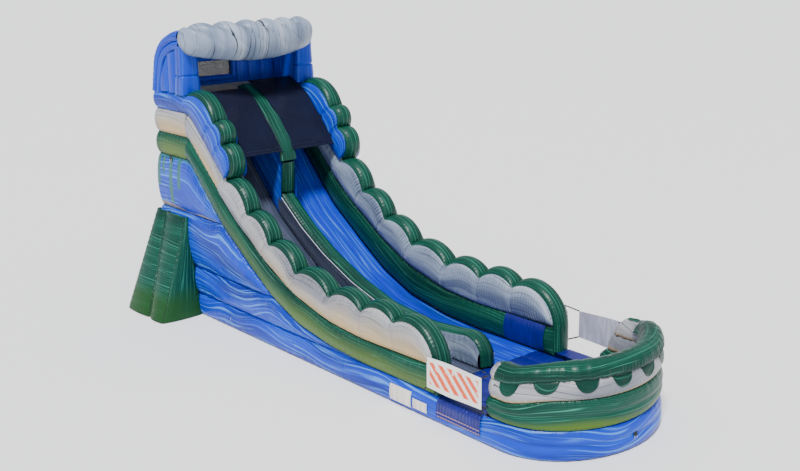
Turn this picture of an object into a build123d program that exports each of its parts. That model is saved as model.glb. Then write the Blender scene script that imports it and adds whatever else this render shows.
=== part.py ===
from build123d import *
from math import cos, radians, sin
import os

# Inflatable water slide: a tower with a hooded platform, a climbing lane and a slide lane
# between scalloped side walls, and a round splash pool.
#
# Millimetres, +Z up, +Y towards the tower. The origin is on the ground, at the middle of the
# slide's footprint. Every air chamber is a closed vinyl shell, split into bays where the real
# chamber is held in by a web or a seam.

os.makedirs("parts", exist_ok=True)

# ---- driving sizes -------------------------------------------------------------------------
VINYL = 3.0  # wall of a chamber: coated fabric with its seams and webs
SEAM = 2.0  # room between neighbouring bays

HALF_WIDTH = 1690.0
WALL_WIDTH = 425.0
INNER = HALF_WIDTH - WALL_WIDTH
DIVIDER_HALF = 200.0
LANE_EDGE = DIVIDER_HALF + 5.0
LANE_FAR_EDGE = INNER - 5.0

TOWER_BACK = 5880.0
BACK_WALL = 5430.0
TOWER_FRONT = 4450.0
WALL_END = -3320.0
POOL_START = -4360.0
POOL_CENTRE = -4745.0
POOL_DEPTH = 1375.0

GROUND = -SEAM / 2
BASE_TOP = 465.0
FOOT_TOP = 1033.0
MIDDLE_TOP = 2190.0
PLATFORM = 3360.0
GREEN_TOP = 3843.0
GREY_TOP = 4355.0
BLUE_TOP = 4755.0
HOOD_TOP = 6080.0

DECK = 90.0  # thickness of the lane and platform mattresses
DECK_DROP = 150.0  # the core under the lanes is this much lower than the side walls' foot
CAP = 150.0  # thickness of the padded cap on the walls and the divider
CREST = 175.0  # rise of a cap scallop over the line between its two valleys

# Side view, (y, z): where the walls' green band meets the blue base, the grey band, and the
# valleys between the cap's scallops.
RAMP = [
    (TOWER_FRONT, PLATFORM), (3307, MIDDLE_TOP), (2988, 1974), (2272, 1489),
    (1546, FOOT_TOP), (699, 691), (-334, 520), (-1274, BASE_TOP),
]
FRONT_RAMP = [(-2167, BASE_TOP), (-3150, BASE_TOP)]
GREY_LINE = [
    (TOWER_FRONT, GREEN_TOP), (3307, 2829), (2988, 2542), (2272, 2074), (1546, 1623),
    (699, 1240), (-334, 998), (-1274, 931), (-2167, 945), (-3150, 970),
]
VALLEYS = [
    (2988, 3192), (2272, 2624), (1546, 2150), (699, 1759), (-334, 1540), (-1274, 1503),
    (-2167, 1531),
]
BLUE_LINE = [(TOWER_FRONT, GREY_TOP), (3480, 3490), (3240, 3274), (2988, 3042)]
UPPER_SEAM = [(TOWER_FRONT, 4605), (3480, 4190), (3240, 3800), (3040, 3190)]
UPPER_VALLEYS = [(TOWER_FRONT, BLUE_TOP), (3365, 4323), (3088, 3893), (2935, 3215)]
UPPER_CRESTS = [(3790, 4735), (3118, 4180), (2800, 3600)]

NOSE_CENTRE = (-2540.0, 900.0)  # the wall's front end is a quarter round about this point
NOSE_RADIUS = NOSE_CENTRE[0] - WALL_END

DIVIDER_UPPER = [(4600, 4765), (4142, 4569), (3733, 4230), (3300, 3690), (3137, 3300)]
DIVIDER_LOWER = [
    (3280, 2587), (1788, 1629), (-111, 912), (-1562, 772), (-2450, 900), (-2800, 760),
]
DIVIDER_END = -2875.0

NET = [(3128, 3546), (3481, 3960), (4114, 4590), (4440, 4760)]
LANDING_START = DIVIDER_END - 5
LANE_END = -3900.0


# ---- helpers -------------------------------------------------------------------------------
def at(line, y):
    """Height of a side-view line at a place along the slide."""
    for (back, high), (front, low) in zip(line, line[1:]):
        if front <= y <= back:
            return low + (high - low) * (y - front) / (back - front)
    return line[0][1] if y > line[0][0] else line[-1][1]


def section(corners, plane, crest=None):
    """A closed flat outline; with a crest, an arc through it joins the last two corners."""
    with BuildSketch(plane) as face:
        with BuildLine():
            if crest is None:
                Polyline(*corners, close=True)
            else:
                Polyline(corners[-1], *corners[:-1])
                ThreePointArc(corners[-2], crest, corners[-1])
        make_face()
    return face.sketch


def bay(corners, low, high, crest=None, plane=Plane.YZ):
    """Adds a closed air bay to the part being built: a hollow prism from low to high."""
    for inset, mode in ((SEAM / 2, Mode.ADD), (SEAM / 2 + VINYL, Mode.SUBTRACT)):
        outline = section(corners, plane.offset(low + inset), crest)
        shrunk = offset(outline, -inset, kind=Kind.INTERSECTION, mode=Mode.PRIVATE)
        extrude(to_extrude=shrunk, amount=high - low - 2 * inset, mode=mode)


def sheet(corners, low, high, plane=Plane.YZ):
    """Adds a solid panel to the part being built."""
    extrude(to_extrude=section(corners, plane.offset(low)), amount=high - low)


def box_corners(front, back, low, high):
    return [(front, low), (back, low), (back, high), (front, high)]


def strip(line, thickness):
    """Corner lists of the bays of a layer that hangs under a side-view line."""
    return [[(y1, z1 - thickness), (y2, z2 - thickness), (y2, z2), (y1, z1)]
            for (y1, z1), (y2, z2) in zip(line, line[1:])]


def between(upper, lower, stations):
    """Corner lists of the bays between two side-view lines, cut at the stations."""
    return [[(back, at(lower, back)), (back, at(upper, back)),
             (front, at(upper, front)), (front, at(lower, front))]
            for back, front in zip(stations, stations[1:])]


def under_ramp(line, low, high):
    """Corner lists of the bays under a falling line within one level."""
    found = []
    for (back, back_z), (front, front_z) in zip(line, line[1:]):
        back_top, front_top = min(back_z, high), min(front_z, high)
        if back_top <= low:
            continue
        corners = [(front, low), (back, low), (back, back_top)]
        if front_top > low:
            corners.append((front, front_top))
        found.append(corners)
    return found


def side_range(side):
    """The x range of a side wall: side is -1 for the left and 1 for the right."""
    return (-HALF_WIDTH, -INNER) if side < 0 else (INNER, HALF_WIDTH)


def save(part, name):
    part.label = name
    export_step(part, f"parts/{name}.step")


SIDES = {"left": -1, "right": 1}
STATIONS = [y for y, _ in GREY_LINE]
FULL_RAMP = RAMP + FRONT_RAMP
LANE_LINE = [*RAMP, (LANDING_START, BASE_TOP), (LANE_END, BASE_TOP)]
CORE_RAMP = [(y, z - DECK_DROP) for y, z in LANE_LINE]
CAP_SEAM = [(y, z - CAP) for y, z in VALLEYS]
DECK_TOP = [(y, z + DECK) for y, z in CORE_RAMP]

# ---- base tube -----------------------------------------------------------------------------
POOL_SECTORS = 12
POOL_INNER_DEPTH = POOL_DEPTH - WALL_WIDTH
POOL_BASE_TOP = 500.0
POOL_GREEN_TOP = 1010.0
POOL_GREY_TOP = 1360.0
POOL_TOP = 1590.0


def pool_point(angle, half_width, depth):
    return (half_width * cos(radians(angle)), POOL_CENTRE - depth * sin(radians(angle)))


def pool_ring(low, high):
    """Adds the bays of one level of the ring round the pool."""
    step = 180 / POOL_SECTORS
    for index in range(POOL_SECTORS):
        start, end = index * step, (index + 1) * step
        corners = [pool_point(start, HALF_WIDTH, POOL_DEPTH),
                   pool_point(end, HALF_WIDTH, POOL_DEPTH),
                   pool_point(end, INNER, POOL_INNER_DEPTH),
                   pool_point(start, INNER, POOL_INNER_DEPTH)]
        bay(corners, low, high, plane=Plane.XY)


BASE_SEAMS = [TOWER_BACK, 3081, 792, -1500, WALL_END, POOL_CENTRE]

with BuildPart() as base_tube:
    for side in SIDES.values():
        x_low, x_high = side_range(side)
        for back, front in zip(BASE_SEAMS, BASE_SEAMS[1:]):
            bay(box_corners(front, back, GROUND, BASE_TOP), x_low, x_high)
    pool_ring(GROUND, POOL_BASE_TOP)
save(base_tube.part, "base_tube")

# ---- side bodies and core ------------------------------------------------------------------
for side_name, side in SIDES.items():
    x_low, x_high = side_range(side)

    with BuildPart() as side_body:
        for low, high in ((BASE_TOP, FOOT_TOP), (FOOT_TOP, MIDDLE_TOP)):
            bay(box_corners(TOWER_FRONT, TOWER_BACK, low, high), x_low, x_high)
            for corners in under_ramp(RAMP, low, high):
                bay(corners, x_low, x_high)
    save(side_body.part, f"side_body_{side_name}")

    with BuildPart() as drip_band:
        bay(box_corners(TOWER_FRONT, TOWER_BACK, MIDDLE_TOP, PLATFORM), x_low, x_high)
        for corners in under_ramp(RAMP, MIDDLE_TOP, PLATFORM):
            bay(corners, x_low, x_high)
    save(drip_band.part, f"drip_band_{side_name}")

CORE_LEVELS = [GROUND, FOOT_TOP - DECK_DROP, MIDDLE_TOP - DECK_DROP, PLATFORM - DECK_DROP]

with BuildPart() as core:
    for low, high in zip(CORE_LEVELS, CORE_LEVELS[1:]):
        bay(box_corners(TOWER_FRONT, TOWER_BACK, low, high), -INNER, INNER)
        for corners in under_ramp(CORE_RAMP, low, high):
            bay(corners, -INNER, INNER)
save(core.part, "core")

# Flat fabric webs inside the tower keep its faces from ballooning.
WEB = 1.0
WEB_MARGIN = 20.0
with BuildPart() as tower_webs:
    for low, high in zip(CORE_LEVELS, CORE_LEVELS[1:]):
        corners = box_corners(TOWER_FRONT + WEB_MARGIN, TOWER_BACK - WEB_MARGIN,
                              low + WEB_MARGIN, high - WEB_MARGIN)
        for x in (-INNER / 2, 0, INNER / 2):
            sheet(corners, x, x + WEB)
save(tower_webs.part, "tower_webs")

# ---- side walls ----------------------------------------------------------------------------
nose_y, nose_z = NOSE_CENTRE
GREY_TIP = (-3148, 976)


def nose_point(angle, radius=NOSE_RADIUS - CAP):
    """A point on the wall's round front end: 0 degrees is level, 90 is straight up."""
    return (nose_y - radius * cos(radians(angle)), nose_z + radius * sin(radians(angle)))


for side_name, side in SIDES.items():
    x_low, x_high = side_range(side)

    with BuildPart() as green_band:
        bay(box_corners(TOWER_FRONT, TOWER_BACK, PLATFORM, GREEN_TOP), x_low, x_high)
        for corners in between(GREY_LINE, FULL_RAMP, STATIONS):
            bay(corners, x_low, x_high)
    save(green_band.part, f"wall_{side_name}_green_band")

    with BuildPart() as grey_band:
        bay(box_corners(TOWER_FRONT, TOWER_BACK, GREEN_TOP, GREY_TOP), x_low, x_high)
        for corners in between(BLUE_LINE, GREY_LINE,
                               [TOWER_FRONT, 3480, 3307, 3240, 2988]):
            bay(corners, x_low, x_high)
        for corners in between(CAP_SEAM, GREY_LINE, [y for y, _ in VALLEYS]):
            bay(corners, x_low, x_high)
        last_y, last_z = CAP_SEAM[-1]
        bay([nose_point(90), (last_y, last_z), (last_y, at(GREY_LINE, last_y)),
             (nose_y, at(GREY_LINE, nose_y))], x_low, x_high)
        bay([(nose_y, at(GREY_LINE, nose_y)), nose_point(90), nose_point(60),
             nose_point(30), GREY_TIP], x_low, x_high)
    save(grey_band.part, f"wall_{side_name}_grey_band")

    with BuildPart() as blue_band:
        bay(box_corners(TOWER_FRONT, TOWER_BACK, GREY_TOP, BLUE_TOP), x_low, x_high)
        for index in range(2):
            bay([BLUE_LINE[index], UPPER_SEAM[index], UPPER_SEAM[index + 1],
                 BLUE_LINE[index + 1]], x_low, x_high)
        bay([BLUE_LINE[2], UPPER_SEAM[2], UPPER_SEAM[3]], x_low, x_high)
    save(blue_band.part, f"wall_{side_name}_blue_band")

    with BuildPart() as cap:
        for index, crest in enumerate(UPPER_CRESTS):
            bay([UPPER_SEAM[index + 1], UPPER_SEAM[index], UPPER_VALLEYS[index],
                 UPPER_VALLEYS[index + 1]], x_low, x_high, crest=crest)
        for (y1, z1), (y2, z2) in zip(VALLEYS, VALLEYS[1:]):
            run = ((y1 - y2) ** 2 + (z1 - z2) ** 2) ** 0.5
            crest = ((y1 + y2) / 2 - CREST * (z1 - z2) / run,
                     (z1 + z2) / 2 + CREST * (y1 - y2) / run)
            bay([(y2, z2 - CAP), (y1, z1 - CAP), (y1, z1), (y2, z2)],
                x_low, x_high, crest=crest)
        bay([nose_point(90), CAP_SEAM[-1], VALLEYS[-1], nose_point(90, NOSE_RADIUS)],
            x_low, x_high)
        for start in (90, 60, 30):
            bay([nose_point(start - 30), nose_point(start), nose_point(start, NOSE_RADIUS),
                 nose_point(start - 30, NOSE_RADIUS)],
                x_low, x_high, crest=nose_point(start - 15, NOSE_RADIUS))
        bay(box_corners(WALL_END, WALL_END + CAP, BASE_TOP, nose_z), x_low, x_high)
    save(cap.part, f"wall_{side_name}_cap")

# ---- tower top -----------------------------------------------------------------------------
for name, low, high in (("green", PLATFORM - DECK_DROP, GREEN_TOP),
                        ("grey", GREEN_TOP, GREY_TOP), ("blue", GREY_TOP, BLUE_TOP)):
    with BuildPart() as back_band:
        bay(box_corners(BACK_WALL, TOWER_BACK, low, high), -INNER, INNER)
    save(back_band.part, f"tower_back_{name}_band")

with BuildPart() as platform_deck:
    low = PLATFORM - DECK_DROP
    bay(box_corners(TOWER_FRONT, BACK_WALL, low, low + DECK), -INNER, INNER)
save(platform_deck.part, "platform_deck")

# The hood leans forward over the platform: (y, z) of its outer and inner line.
HOOD_OUTER = [(TOWER_BACK, BLUE_TOP), (5715, 5463), (5370, 5826), (4952, 6030)]
HOOD_INNER = [(BACK_WALL, BLUE_TOP), (BACK_WALL, 5463), (5200, 5610), (4900, 5745)]
HOOD_FRONT = 4760.0
WINDOW_LEFT, WINDOW_RIGHT = -900.0, 265.0
WINDOW_LOW, WINDOW_HIGH = 4830.0, 5400.0
WINDOW_FRAME = 70.0
FRAME_PLACE = BACK_WALL + 100
MESH_PLACE = BACK_WALL + 150
CROWN_FLOOR = 5800.0  # the roof's front bay reaches down to here behind the crown


def hood_back(z):
    (y1, z1), (y2, z2) = HOOD_OUTER[0], HOOD_OUTER[1]
    return y1 + (y2 - y1) * (z - z1) / (z2 - z1)


def hood_wall(low, high):
    """Side view of a level of the hood's back wall."""
    return [(BACK_WALL, low), (hood_back(low), low), (hood_back(high), high),
            (BACK_WALL, high)]


with BuildPart() as hood_back_wall:
    bay(hood_wall(BLUE_TOP, WINDOW_LOW), -INNER, INNER)
    bay(hood_wall(WINDOW_LOW, WINDOW_HIGH), -INNER, WINDOW_LEFT)
    bay(hood_wall(WINDOW_LOW, WINDOW_HIGH), WINDOW_RIGHT, INNER)
    bay(hood_wall(WINDOW_HIGH, HOOD_OUTER[1][1]), -INNER, INNER)
save(hood_back_wall.part, "hood_back_wall")

window_x, window_z = (WINDOW_LEFT + WINDOW_RIGHT) / 2, (WINDOW_LOW + WINDOW_HIGH) / 2
window_width, window_height = WINDOW_RIGHT - WINDOW_LEFT, WINDOW_HIGH - WINDOW_LOW

with BuildPart() as window_frame:
    for x in (WINDOW_LEFT + WINDOW_FRAME / 2, WINDOW_RIGHT - WINDOW_FRAME / 2):
        with Locations((x, FRAME_PLACE, window_z)):
            Box(WINDOW_FRAME - SEAM, WINDOW_FRAME, window_height - SEAM)
            Box(WINDOW_FRAME - SEAM - 2 * VINYL, WINDOW_FRAME - 2 * VINYL,
                window_height - SEAM - 2 * VINYL, mode=Mode.SUBTRACT)
    inner_width = window_width - 2 * WINDOW_FRAME - 2 * SEAM
    for z in (WINDOW_LOW + WINDOW_FRAME / 2, WINDOW_HIGH - WINDOW_FRAME / 2):
        with Locations((window_x, FRAME_PLACE, z)):
            Box(inner_width, WINDOW_FRAME, WINDOW_FRAME - SEAM)
            Box(inner_width - 2 * VINYL, WINDOW_FRAME - 2 * VINYL,
                WINDOW_FRAME - SEAM - 2 * VINYL, mode=Mode.SUBTRACT)
save(window_frame.part, "window_frame")

with BuildPart() as window_mesh:
    with Locations((window_x, MESH_PLACE, window_z)):
        Box(window_width - 2 * SEAM, VINYL, window_height - 2 * SEAM)
save(window_mesh.part, "window_mesh")

# ---- crown roll and hood -------------------------------------------------------------------
CROWN_LOBES = 7
CROWN_HALF = 1700.0
CROWN_END = (4440.0, 5886.0, 302.0)  # y, z and radius at the ends
CROWN_MIDDLE = (4080.0, 5800.0, 430.0)


def crown(x):
    """Centre y, centre z and radius of the crown roll at x."""
    share = 1 - (x / CROWN_HALF) ** 2
    return [end + (middle - end) * share for end, middle in zip(CROWN_END, CROWN_MIDDLE)]


lobe_pitch = 2 * CROWN_HALF / CROWN_LOBES
lobe_places = [(index + 0.5) * lobe_pitch - CROWN_HALF for index in range(CROWN_LOBES)]


def crown_back(x_low, x_high):
    """How far back the crown's lobes reach between two x places."""
    reach = [crown(x)[0] + crown(x)[2] for x in lobe_places
             if x - lobe_pitch / 2 < x_high and x + lobe_pitch / 2 > x_low]
    return max(reach)


with BuildPart() as crown_roll:
    for x in lobe_places:
        y, z, radius = crown(x)
        with Locations((x, y, z)):
            Cylinder(radius, lobe_pitch - SEAM, rotation=(0, 90, 0))
            Cylinder(radius - VINYL, lobe_pitch - SEAM - 2 * VINYL, rotation=(0, 90, 0),
                     mode=Mode.SUBTRACT)
save(crown_roll.part, "crown_roll")

ROOF_LOBES = 7
roof_pitch = 2 * INNER / ROOF_LOBES

with BuildPart() as hood_roof:
    for index in range(ROOF_LOBES):
        x_low = -INNER + index * roof_pitch
        front = crown_back(x_low, x_low + roof_pitch) + 2 * SEAM
        for i in (1, 2):
            bay([HOOD_INNER[i], HOOD_OUTER[i], HOOD_OUTER[i + 1], HOOD_INNER[i + 1]],
                x_low, x_low + roof_pitch)
        bay([HOOD_INNER[3], HOOD_OUTER[3], (front, HOOD_TOP), (front, CROWN_FLOOR)],
            x_low, x_low + roof_pitch)
save(hood_roof.part, "hood_roof")

PILLAR_TOP = 5515.0
for side_name, side in SIDES.items():
    x_low, x_high = side_range(side)
    with BuildPart() as hood_side:
        bay([(HOOD_FRONT, BLUE_TOP), *HOOD_OUTER, (HOOD_FRONT, HOOD_TOP)], x_low, x_high)
    save(hood_side.part, f"hood_side_{side_name}")

    with BuildPart() as pillar:
        bay(box_corners(TOWER_FRONT, HOOD_FRONT, BLUE_TOP, PILLAR_TOP), x_low, x_high)
    save(pillar.part, f"pillar_{side_name}")

# ---- lanes ---------------------------------------------------------------------------------
for name, edges in (("slide", (LANE_EDGE, LANE_FAR_EDGE)),
                    ("climb", (-LANE_FAR_EDGE, -LANE_EDGE))):
    with BuildPart() as deck:
        for corners in strip(DECK_TOP[:-1], DECK):
            bay(corners, *edges)
    save(deck.part, f"{name}_deck")

with BuildPart() as landing_deck:
    for corners in strip(DECK_TOP[-2:], DECK):
        bay(corners, -INNER, INNER)
save(landing_deck.part, "landing_deck")

STEPS = 13
STEP_SIZE = (520.0, 120.0, 90.0)
STEP_SHIFT = -70.0  # from the lane's middle towards the outer wall
STEP_FIRST, STEP_LAST = -300.0, 4250.0
climb_x = -(LANE_EDGE + LANE_FAR_EDGE) / 2
step_places = [STEP_FIRST + index * (STEP_LAST - STEP_FIRST) / (STEPS - 1)
               for index in range(STEPS)]

with BuildPart() as climb_steps:
    width, depth, height = STEP_SIZE
    for y in step_places:
        foot = max(at(DECK_TOP, y - depth / 2), at(DECK_TOP, y + depth / 2)) + SEAM
        bay(box_corners(y - depth / 2, y + depth / 2, foot, foot + height),
            climb_x + STEP_SHIFT - width / 2, climb_x + STEP_SHIFT + width / 2)
save(climb_steps.part, "climb_steps")

HANDLE_RADIUS = 70.0
HANDLE_WEB = 4.0
HANDLE_WIDTH = 40.0
HANDLE_SPREAD = 180.0  # from the lane's middle to each row of handles
with BuildPart() as climb_handles:
    for y, y_next in zip(step_places, step_places[1:]):
        back = (y + y_next + HANDLE_WIDTH) / 2
        foot = at(DECK_TOP, back) + SEAM
        for x in (climb_x - HANDLE_SPREAD, climb_x + HANDLE_SPREAD):
            with BuildSketch(Plane.XZ.offset(-back)) as loop:
                with Locations((x, foot)):
                    Circle(HANDLE_RADIUS)
                    Circle(HANDLE_RADIUS - HANDLE_WEB, mode=Mode.SUBTRACT)
                with Locations((x, foot - HANDLE_RADIUS)):
                    Rectangle(3 * HANDLE_RADIUS, 2 * HANDLE_RADIUS, mode=Mode.SUBTRACT)
            extrude(amount=HANDLE_WIDTH)
save(climb_handles.part, "climb_handles")

# ---- divider -------------------------------------------------------------------------------
UPPER_END_FOOT = 3160.0  # foot of the upper cap's upright front end
UPPER_BODY_TOP = 4530.0
LOWER_END_FOOT = 430.0  # foot of the lower cap's nose

with BuildPart() as divider_upper_cap:
    for corners in strip(DIVIDER_UPPER[:4], CAP):
        bay(corners, -DIVIDER_HALF, DIVIDER_HALF)
    y_top, z_top = DIVIDER_UPPER[3]
    y_low, z_low = DIVIDER_UPPER[4]
    bay([(y_top, z_top - CAP), (y_top, z_top), (y_low, z_low), (y_low, UPPER_END_FOOT),
         (y_top, UPPER_END_FOOT)], -DIVIDER_HALF, DIVIDER_HALF)
save(divider_upper_cap.part, "divider_upper_cap")

with BuildPart() as divider_upper:
    seam = [(y, z - CAP) for y, z in DIVIDER_UPPER[:4]]
    bay(box_corners(TOWER_FRONT, seam[0][0], PLATFORM - DECK_DROP + DECK,
                  UPPER_BODY_TOP),
        -DIVIDER_HALF, DIVIDER_HALF)
    stations = [TOWER_FRONT, 4142, 3733, 3307]
    for corners in between(seam, CORE_RAMP, stations):
        bay(corners, -DIVIDER_HALF, DIVIDER_HALF)
save(divider_upper.part, "divider_upper")

with BuildPart() as divider_lower_cap:
    for corners in strip(DIVIDER_LOWER, CAP):
        bay(corners, -DIVIDER_HALF, DIVIDER_HALF)
    y_nose, z_nose = DIVIDER_LOWER[-1]
    bay([(y_nose, z_nose), (y_nose, z_nose - CAP), (y_nose, LOWER_END_FOOT),
         (DIVIDER_END, LOWER_END_FOOT),
         (DIVIDER_END, z_nose - CAP)], -DIVIDER_HALF, DIVIDER_HALF)
save(divider_lower_cap.part, "divider_lower_cap")

with BuildPart() as divider_lower:
    seam = [(y, z - CAP) for y, z in DIVIDER_LOWER]
    ramp_places = [y for y, _ in CORE_RAMP if DIVIDER_LOWER[-1][0] < y < DIVIDER_LOWER[0][0]]
    divider_stations = sorted([*ramp_places, *(y for y, _ in DIVIDER_LOWER)], reverse=True)
    for corners in between(seam, CORE_RAMP, divider_stations):
        bay(corners, -DIVIDER_HALF, DIVIDER_HALF)
save(divider_lower.part, "divider_lower")

# ---- safety nets ---------------------------------------------------------------------------
NET_THICKNESS = 5.0
for name, edges in (("slide", (LANE_EDGE, LANE_FAR_EDGE)),
                    ("climb", (-LANE_FAR_EDGE, -LANE_EDGE))):
    with BuildPart() as net:
        for (y1, z1), (y2, z2) in zip(NET, NET[1:]):
            sheet([(y1 + 1, z1), (y2 - 1, z2), (y2 - 1, z2 + NET_THICKNESS),
                   (y1 + 1, z1 + NET_THICKNESS)], *edges)
    save(net.part, f"net_{name}_lane")

# ---- splash pool ---------------------------------------------------------------------------
for name, low, high in (("pool_green_band", POOL_BASE_TOP, POOL_GREEN_TOP),
                        ("pool_grey_band", POOL_GREEN_TOP, POOL_GREY_TOP),
                        ("pool_top_roll", POOL_GREY_TOP, POOL_TOP)):
    with BuildPart() as ring:
        pool_ring(low, high)
        for side in SIDES.values():
            low_x, high_x = side_range(side)
            foot = BASE_TOP if low == POOL_BASE_TOP else low
            bay(box_corners(POOL_CENTRE, POOL_START, foot, high), low_x, high_x)
    save(ring.part, name)

LINER = 5.0
with BuildPart() as pool_liner:
    outline = [(INNER - 4, LANE_END - 4), (INNER - 4, POOL_CENTRE)]
    curve = [pool_point(angle, INNER - 4, POOL_INNER_DEPTH - 4) for angle in range(0, 181, 15)]
    sheet([outline[0], *curve, (-outline[0][0], outline[0][1])], 0, LINER, plane=Plane.XY)
save(pool_liner.part, "pool_liner")

ENTRY_MAT = 8.0
MAT_DROP = 320.0  # height of the outer flap of an entry mat, and of its middle
with BuildPart() as entry_mats:
    for side in SIDES.values():
        with Locations((side * (HALF_WIDTH - WALL_WIDTH / 2), (WALL_END + POOL_START) / 2,
                        BASE_TOP + ENTRY_MAT / 2)):
            Box(WALL_WIDTH, WALL_END - POOL_START - 2 * SEAM, ENTRY_MAT)
        with Locations((side * (HALF_WIDTH + ENTRY_MAT / 2 + 1), (WALL_END + POOL_START) / 2,
                        MAT_DROP)):
            Box(ENTRY_MAT, WALL_END - POOL_START - 2 * SEAM, MAT_DROP)
save(entry_mats.part, "entry_mats")

# ---- stabiliser fins -----------------------------------------------------------------------
FIN_REACH = 2700.0
FIN_TOP = 2094.0
FIN_STATIONS = [4217.0, 4831.0, 5808.0]
for side_name, side in SIDES.items():
    with BuildPart() as stabiliser:
        for front, back in zip(FIN_STATIONS, FIN_STATIONS[1:]):
            corners = [(side * (HALF_WIDTH + SEAM), GROUND), (side * FIN_REACH, GROUND),
                       (side * (HALF_WIDTH + SEAM), FIN_TOP)]
            bay(corners, -back, -front, plane=Plane.XZ)
    save(stabiliser.part, f"stabiliser_{side_name}")

# ---- entry banners -------------------------------------------------------------------------
BANNER = 3.0
BANNER_GAP = 14.0
BANNER_OUTLINE = [(-3100, 610), (-3100, 1150), (-4420, 1255), (-4420, 645)]
for side_name, side in SIDES.items():
    near = side * (HALF_WIDTH + BANNER_GAP + BANNER / 2) - BANNER / 2
    with BuildPart() as banner:
        sheet(BANNER_OUTLINE, near, near + BANNER)
    save(banner.part, f"banner_{side_name}")

# ---- anchors -------------------------------------------------------------------------------
RING_RADIUS = 32.0
RING_WIRE = 4.0
RING_OFFSET = 9.0
STRAP = (6.0, 70.0, 25.0)
PATCH = (90.0, 110.0, 3.0)  # the webbing patch that carries an anchor ring
LOOP = (20.0, 14.0, 12.0)  # the loop of the patch that the ring swings in
BORE = RING_WIRE + 1.8
ANCHOR_HEIGHT = 230.0
TIE_HEIGHT = 3310.0
ANCHORS = {
    "left_back": (-HALF_WIDTH, 3081, ANCHOR_HEIGHT, 180),
    "left_front": (-HALF_WIDTH, 792, ANCHOR_HEIGHT, 180),
    "right_back": (HALF_WIDTH, 3081, ANCHOR_HEIGHT, 0),
    "right_front": (HALF_WIDTH, 792, ANCHOR_HEIGHT, 0),
    "tie_left": (-HALF_WIDTH, 5150, TIE_HEIGHT, 180),
    "tie_right": (HALF_WIDTH, 5150, TIE_HEIGHT, 0),
    "pool": (0, POOL_CENTRE - POOL_DEPTH, ANCHOR_HEIGHT, -90),
}


def anchor_plane(place):
    """A plane on the skin: x along it, y up, z outwards."""
    x, y, z, heading = place
    outward = Vector(cos(radians(heading)), sin(radians(heading)), 0)
    return Plane(origin=(x, y, z), x_dir=Vector(0, 0, 1).cross(outward), z_dir=outward)


with BuildPart() as webbing_tabs:
    for side in SIDES.values():
        for y, z in BANNER_OUTLINE:
            with Locations((side * (HALF_WIDTH + STRAP[0] / 2), y, z)):
                Box(*STRAP)
    for place in ANCHORS.values():
        with Locations(anchor_plane(place)):
            with Locations((0, 10, PATCH[2] / 2)):
                Box(*PATCH)
            with Locations((0, 0, RING_OFFSET)):
                Box(*LOOP)
                Cylinder(BORE, 2 * LOOP[0], rotation=(0, 90, 0), mode=Mode.SUBTRACT)
save(webbing_tabs.part, "webbing_tabs")

for name, place in ANCHORS.items():
    with BuildPart() as ring:
        with Locations(anchor_plane(place)):
            with Locations((0, -RING_RADIUS, RING_OFFSET)):
                Torus(RING_RADIUS, RING_WIRE)
    save(ring.part, f"ring_{name}")

# ---- back of the tower: blower sleeve and deflation zipper ----------------------------------
SLEEVE_RADIUS = 160.0
SLEEVE_LENGTH = POOL_DEPTH - POOL_CENTRE + RING_OFFSET + RING_WIRE - TOWER_BACK
SLEEVE_PLACE = (-600.0, 320.0)
with BuildPart() as blower_sleeve:
    with BuildSketch(Plane.XZ.offset(-TOWER_BACK - SLEEVE_LENGTH)):
        with Locations(SLEEVE_PLACE):
            Circle(SLEEVE_RADIUS)
            Circle(SLEEVE_RADIUS - 2 * VINYL, mode=Mode.SUBTRACT)
    extrude(amount=SLEEVE_LENGTH)
save(blower_sleeve.part, "blower_sleeve")

ZIP_X, ZIP_Z = 500.0, 300.0
ZIP_LENGTH = 900.0
TAPE = (4.0, 40.0)  # thickness and height
SLIDER = (30.0, 9.0, 22.0)
FLAP = (3.0, 130.0)
SLIDER_GAP = 4.5  # from the tape to the slider
FLAP_GAP = 16.5  # from the tower's skin to the flap
with BuildPart() as zipper_tape:
    with Locations((ZIP_X, TOWER_BACK + TAPE[0] / 2, ZIP_Z)):
        Box(ZIP_LENGTH, *TAPE)
save(zipper_tape.part, "zipper_tape")

with BuildPart() as zipper_slider:
    with Locations((ZIP_X - ZIP_LENGTH / 2 + 25, TOWER_BACK + SLIDER_GAP + SLIDER[1] / 2,
                    ZIP_Z)):
        Box(*SLIDER)
save(zipper_slider.part, "zipper_slider")

with BuildPart() as zipper_flap:
    with Locations((ZIP_X, TOWER_BACK + FLAP_GAP + FLAP[0] / 2, ZIP_Z - 15)):
        Box(ZIP_LENGTH + 60, *FLAP)
save(zipper_flap.part, "zipper_flap")
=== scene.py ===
"""Looks of the inflatable water slide: puffed vinyl chambers, marbled colours, nets, banners
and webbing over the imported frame. Metres, +Z up, +Y towards the tower."""

import math

import bpy
import numpy as np
from mathutils import Matrix, Vector


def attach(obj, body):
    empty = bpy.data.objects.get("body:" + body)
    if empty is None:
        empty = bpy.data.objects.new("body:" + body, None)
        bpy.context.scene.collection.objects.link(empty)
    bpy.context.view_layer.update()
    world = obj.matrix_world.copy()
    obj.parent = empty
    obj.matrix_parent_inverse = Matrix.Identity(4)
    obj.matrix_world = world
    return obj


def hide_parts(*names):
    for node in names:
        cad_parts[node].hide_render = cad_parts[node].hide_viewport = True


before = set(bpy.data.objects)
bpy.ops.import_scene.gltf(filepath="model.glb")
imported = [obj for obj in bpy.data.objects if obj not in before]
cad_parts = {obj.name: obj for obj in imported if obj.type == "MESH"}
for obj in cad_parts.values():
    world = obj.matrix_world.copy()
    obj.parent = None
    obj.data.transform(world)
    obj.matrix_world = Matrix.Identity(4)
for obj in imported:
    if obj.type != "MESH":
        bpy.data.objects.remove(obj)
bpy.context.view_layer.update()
ROOT = "slide"

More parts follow.
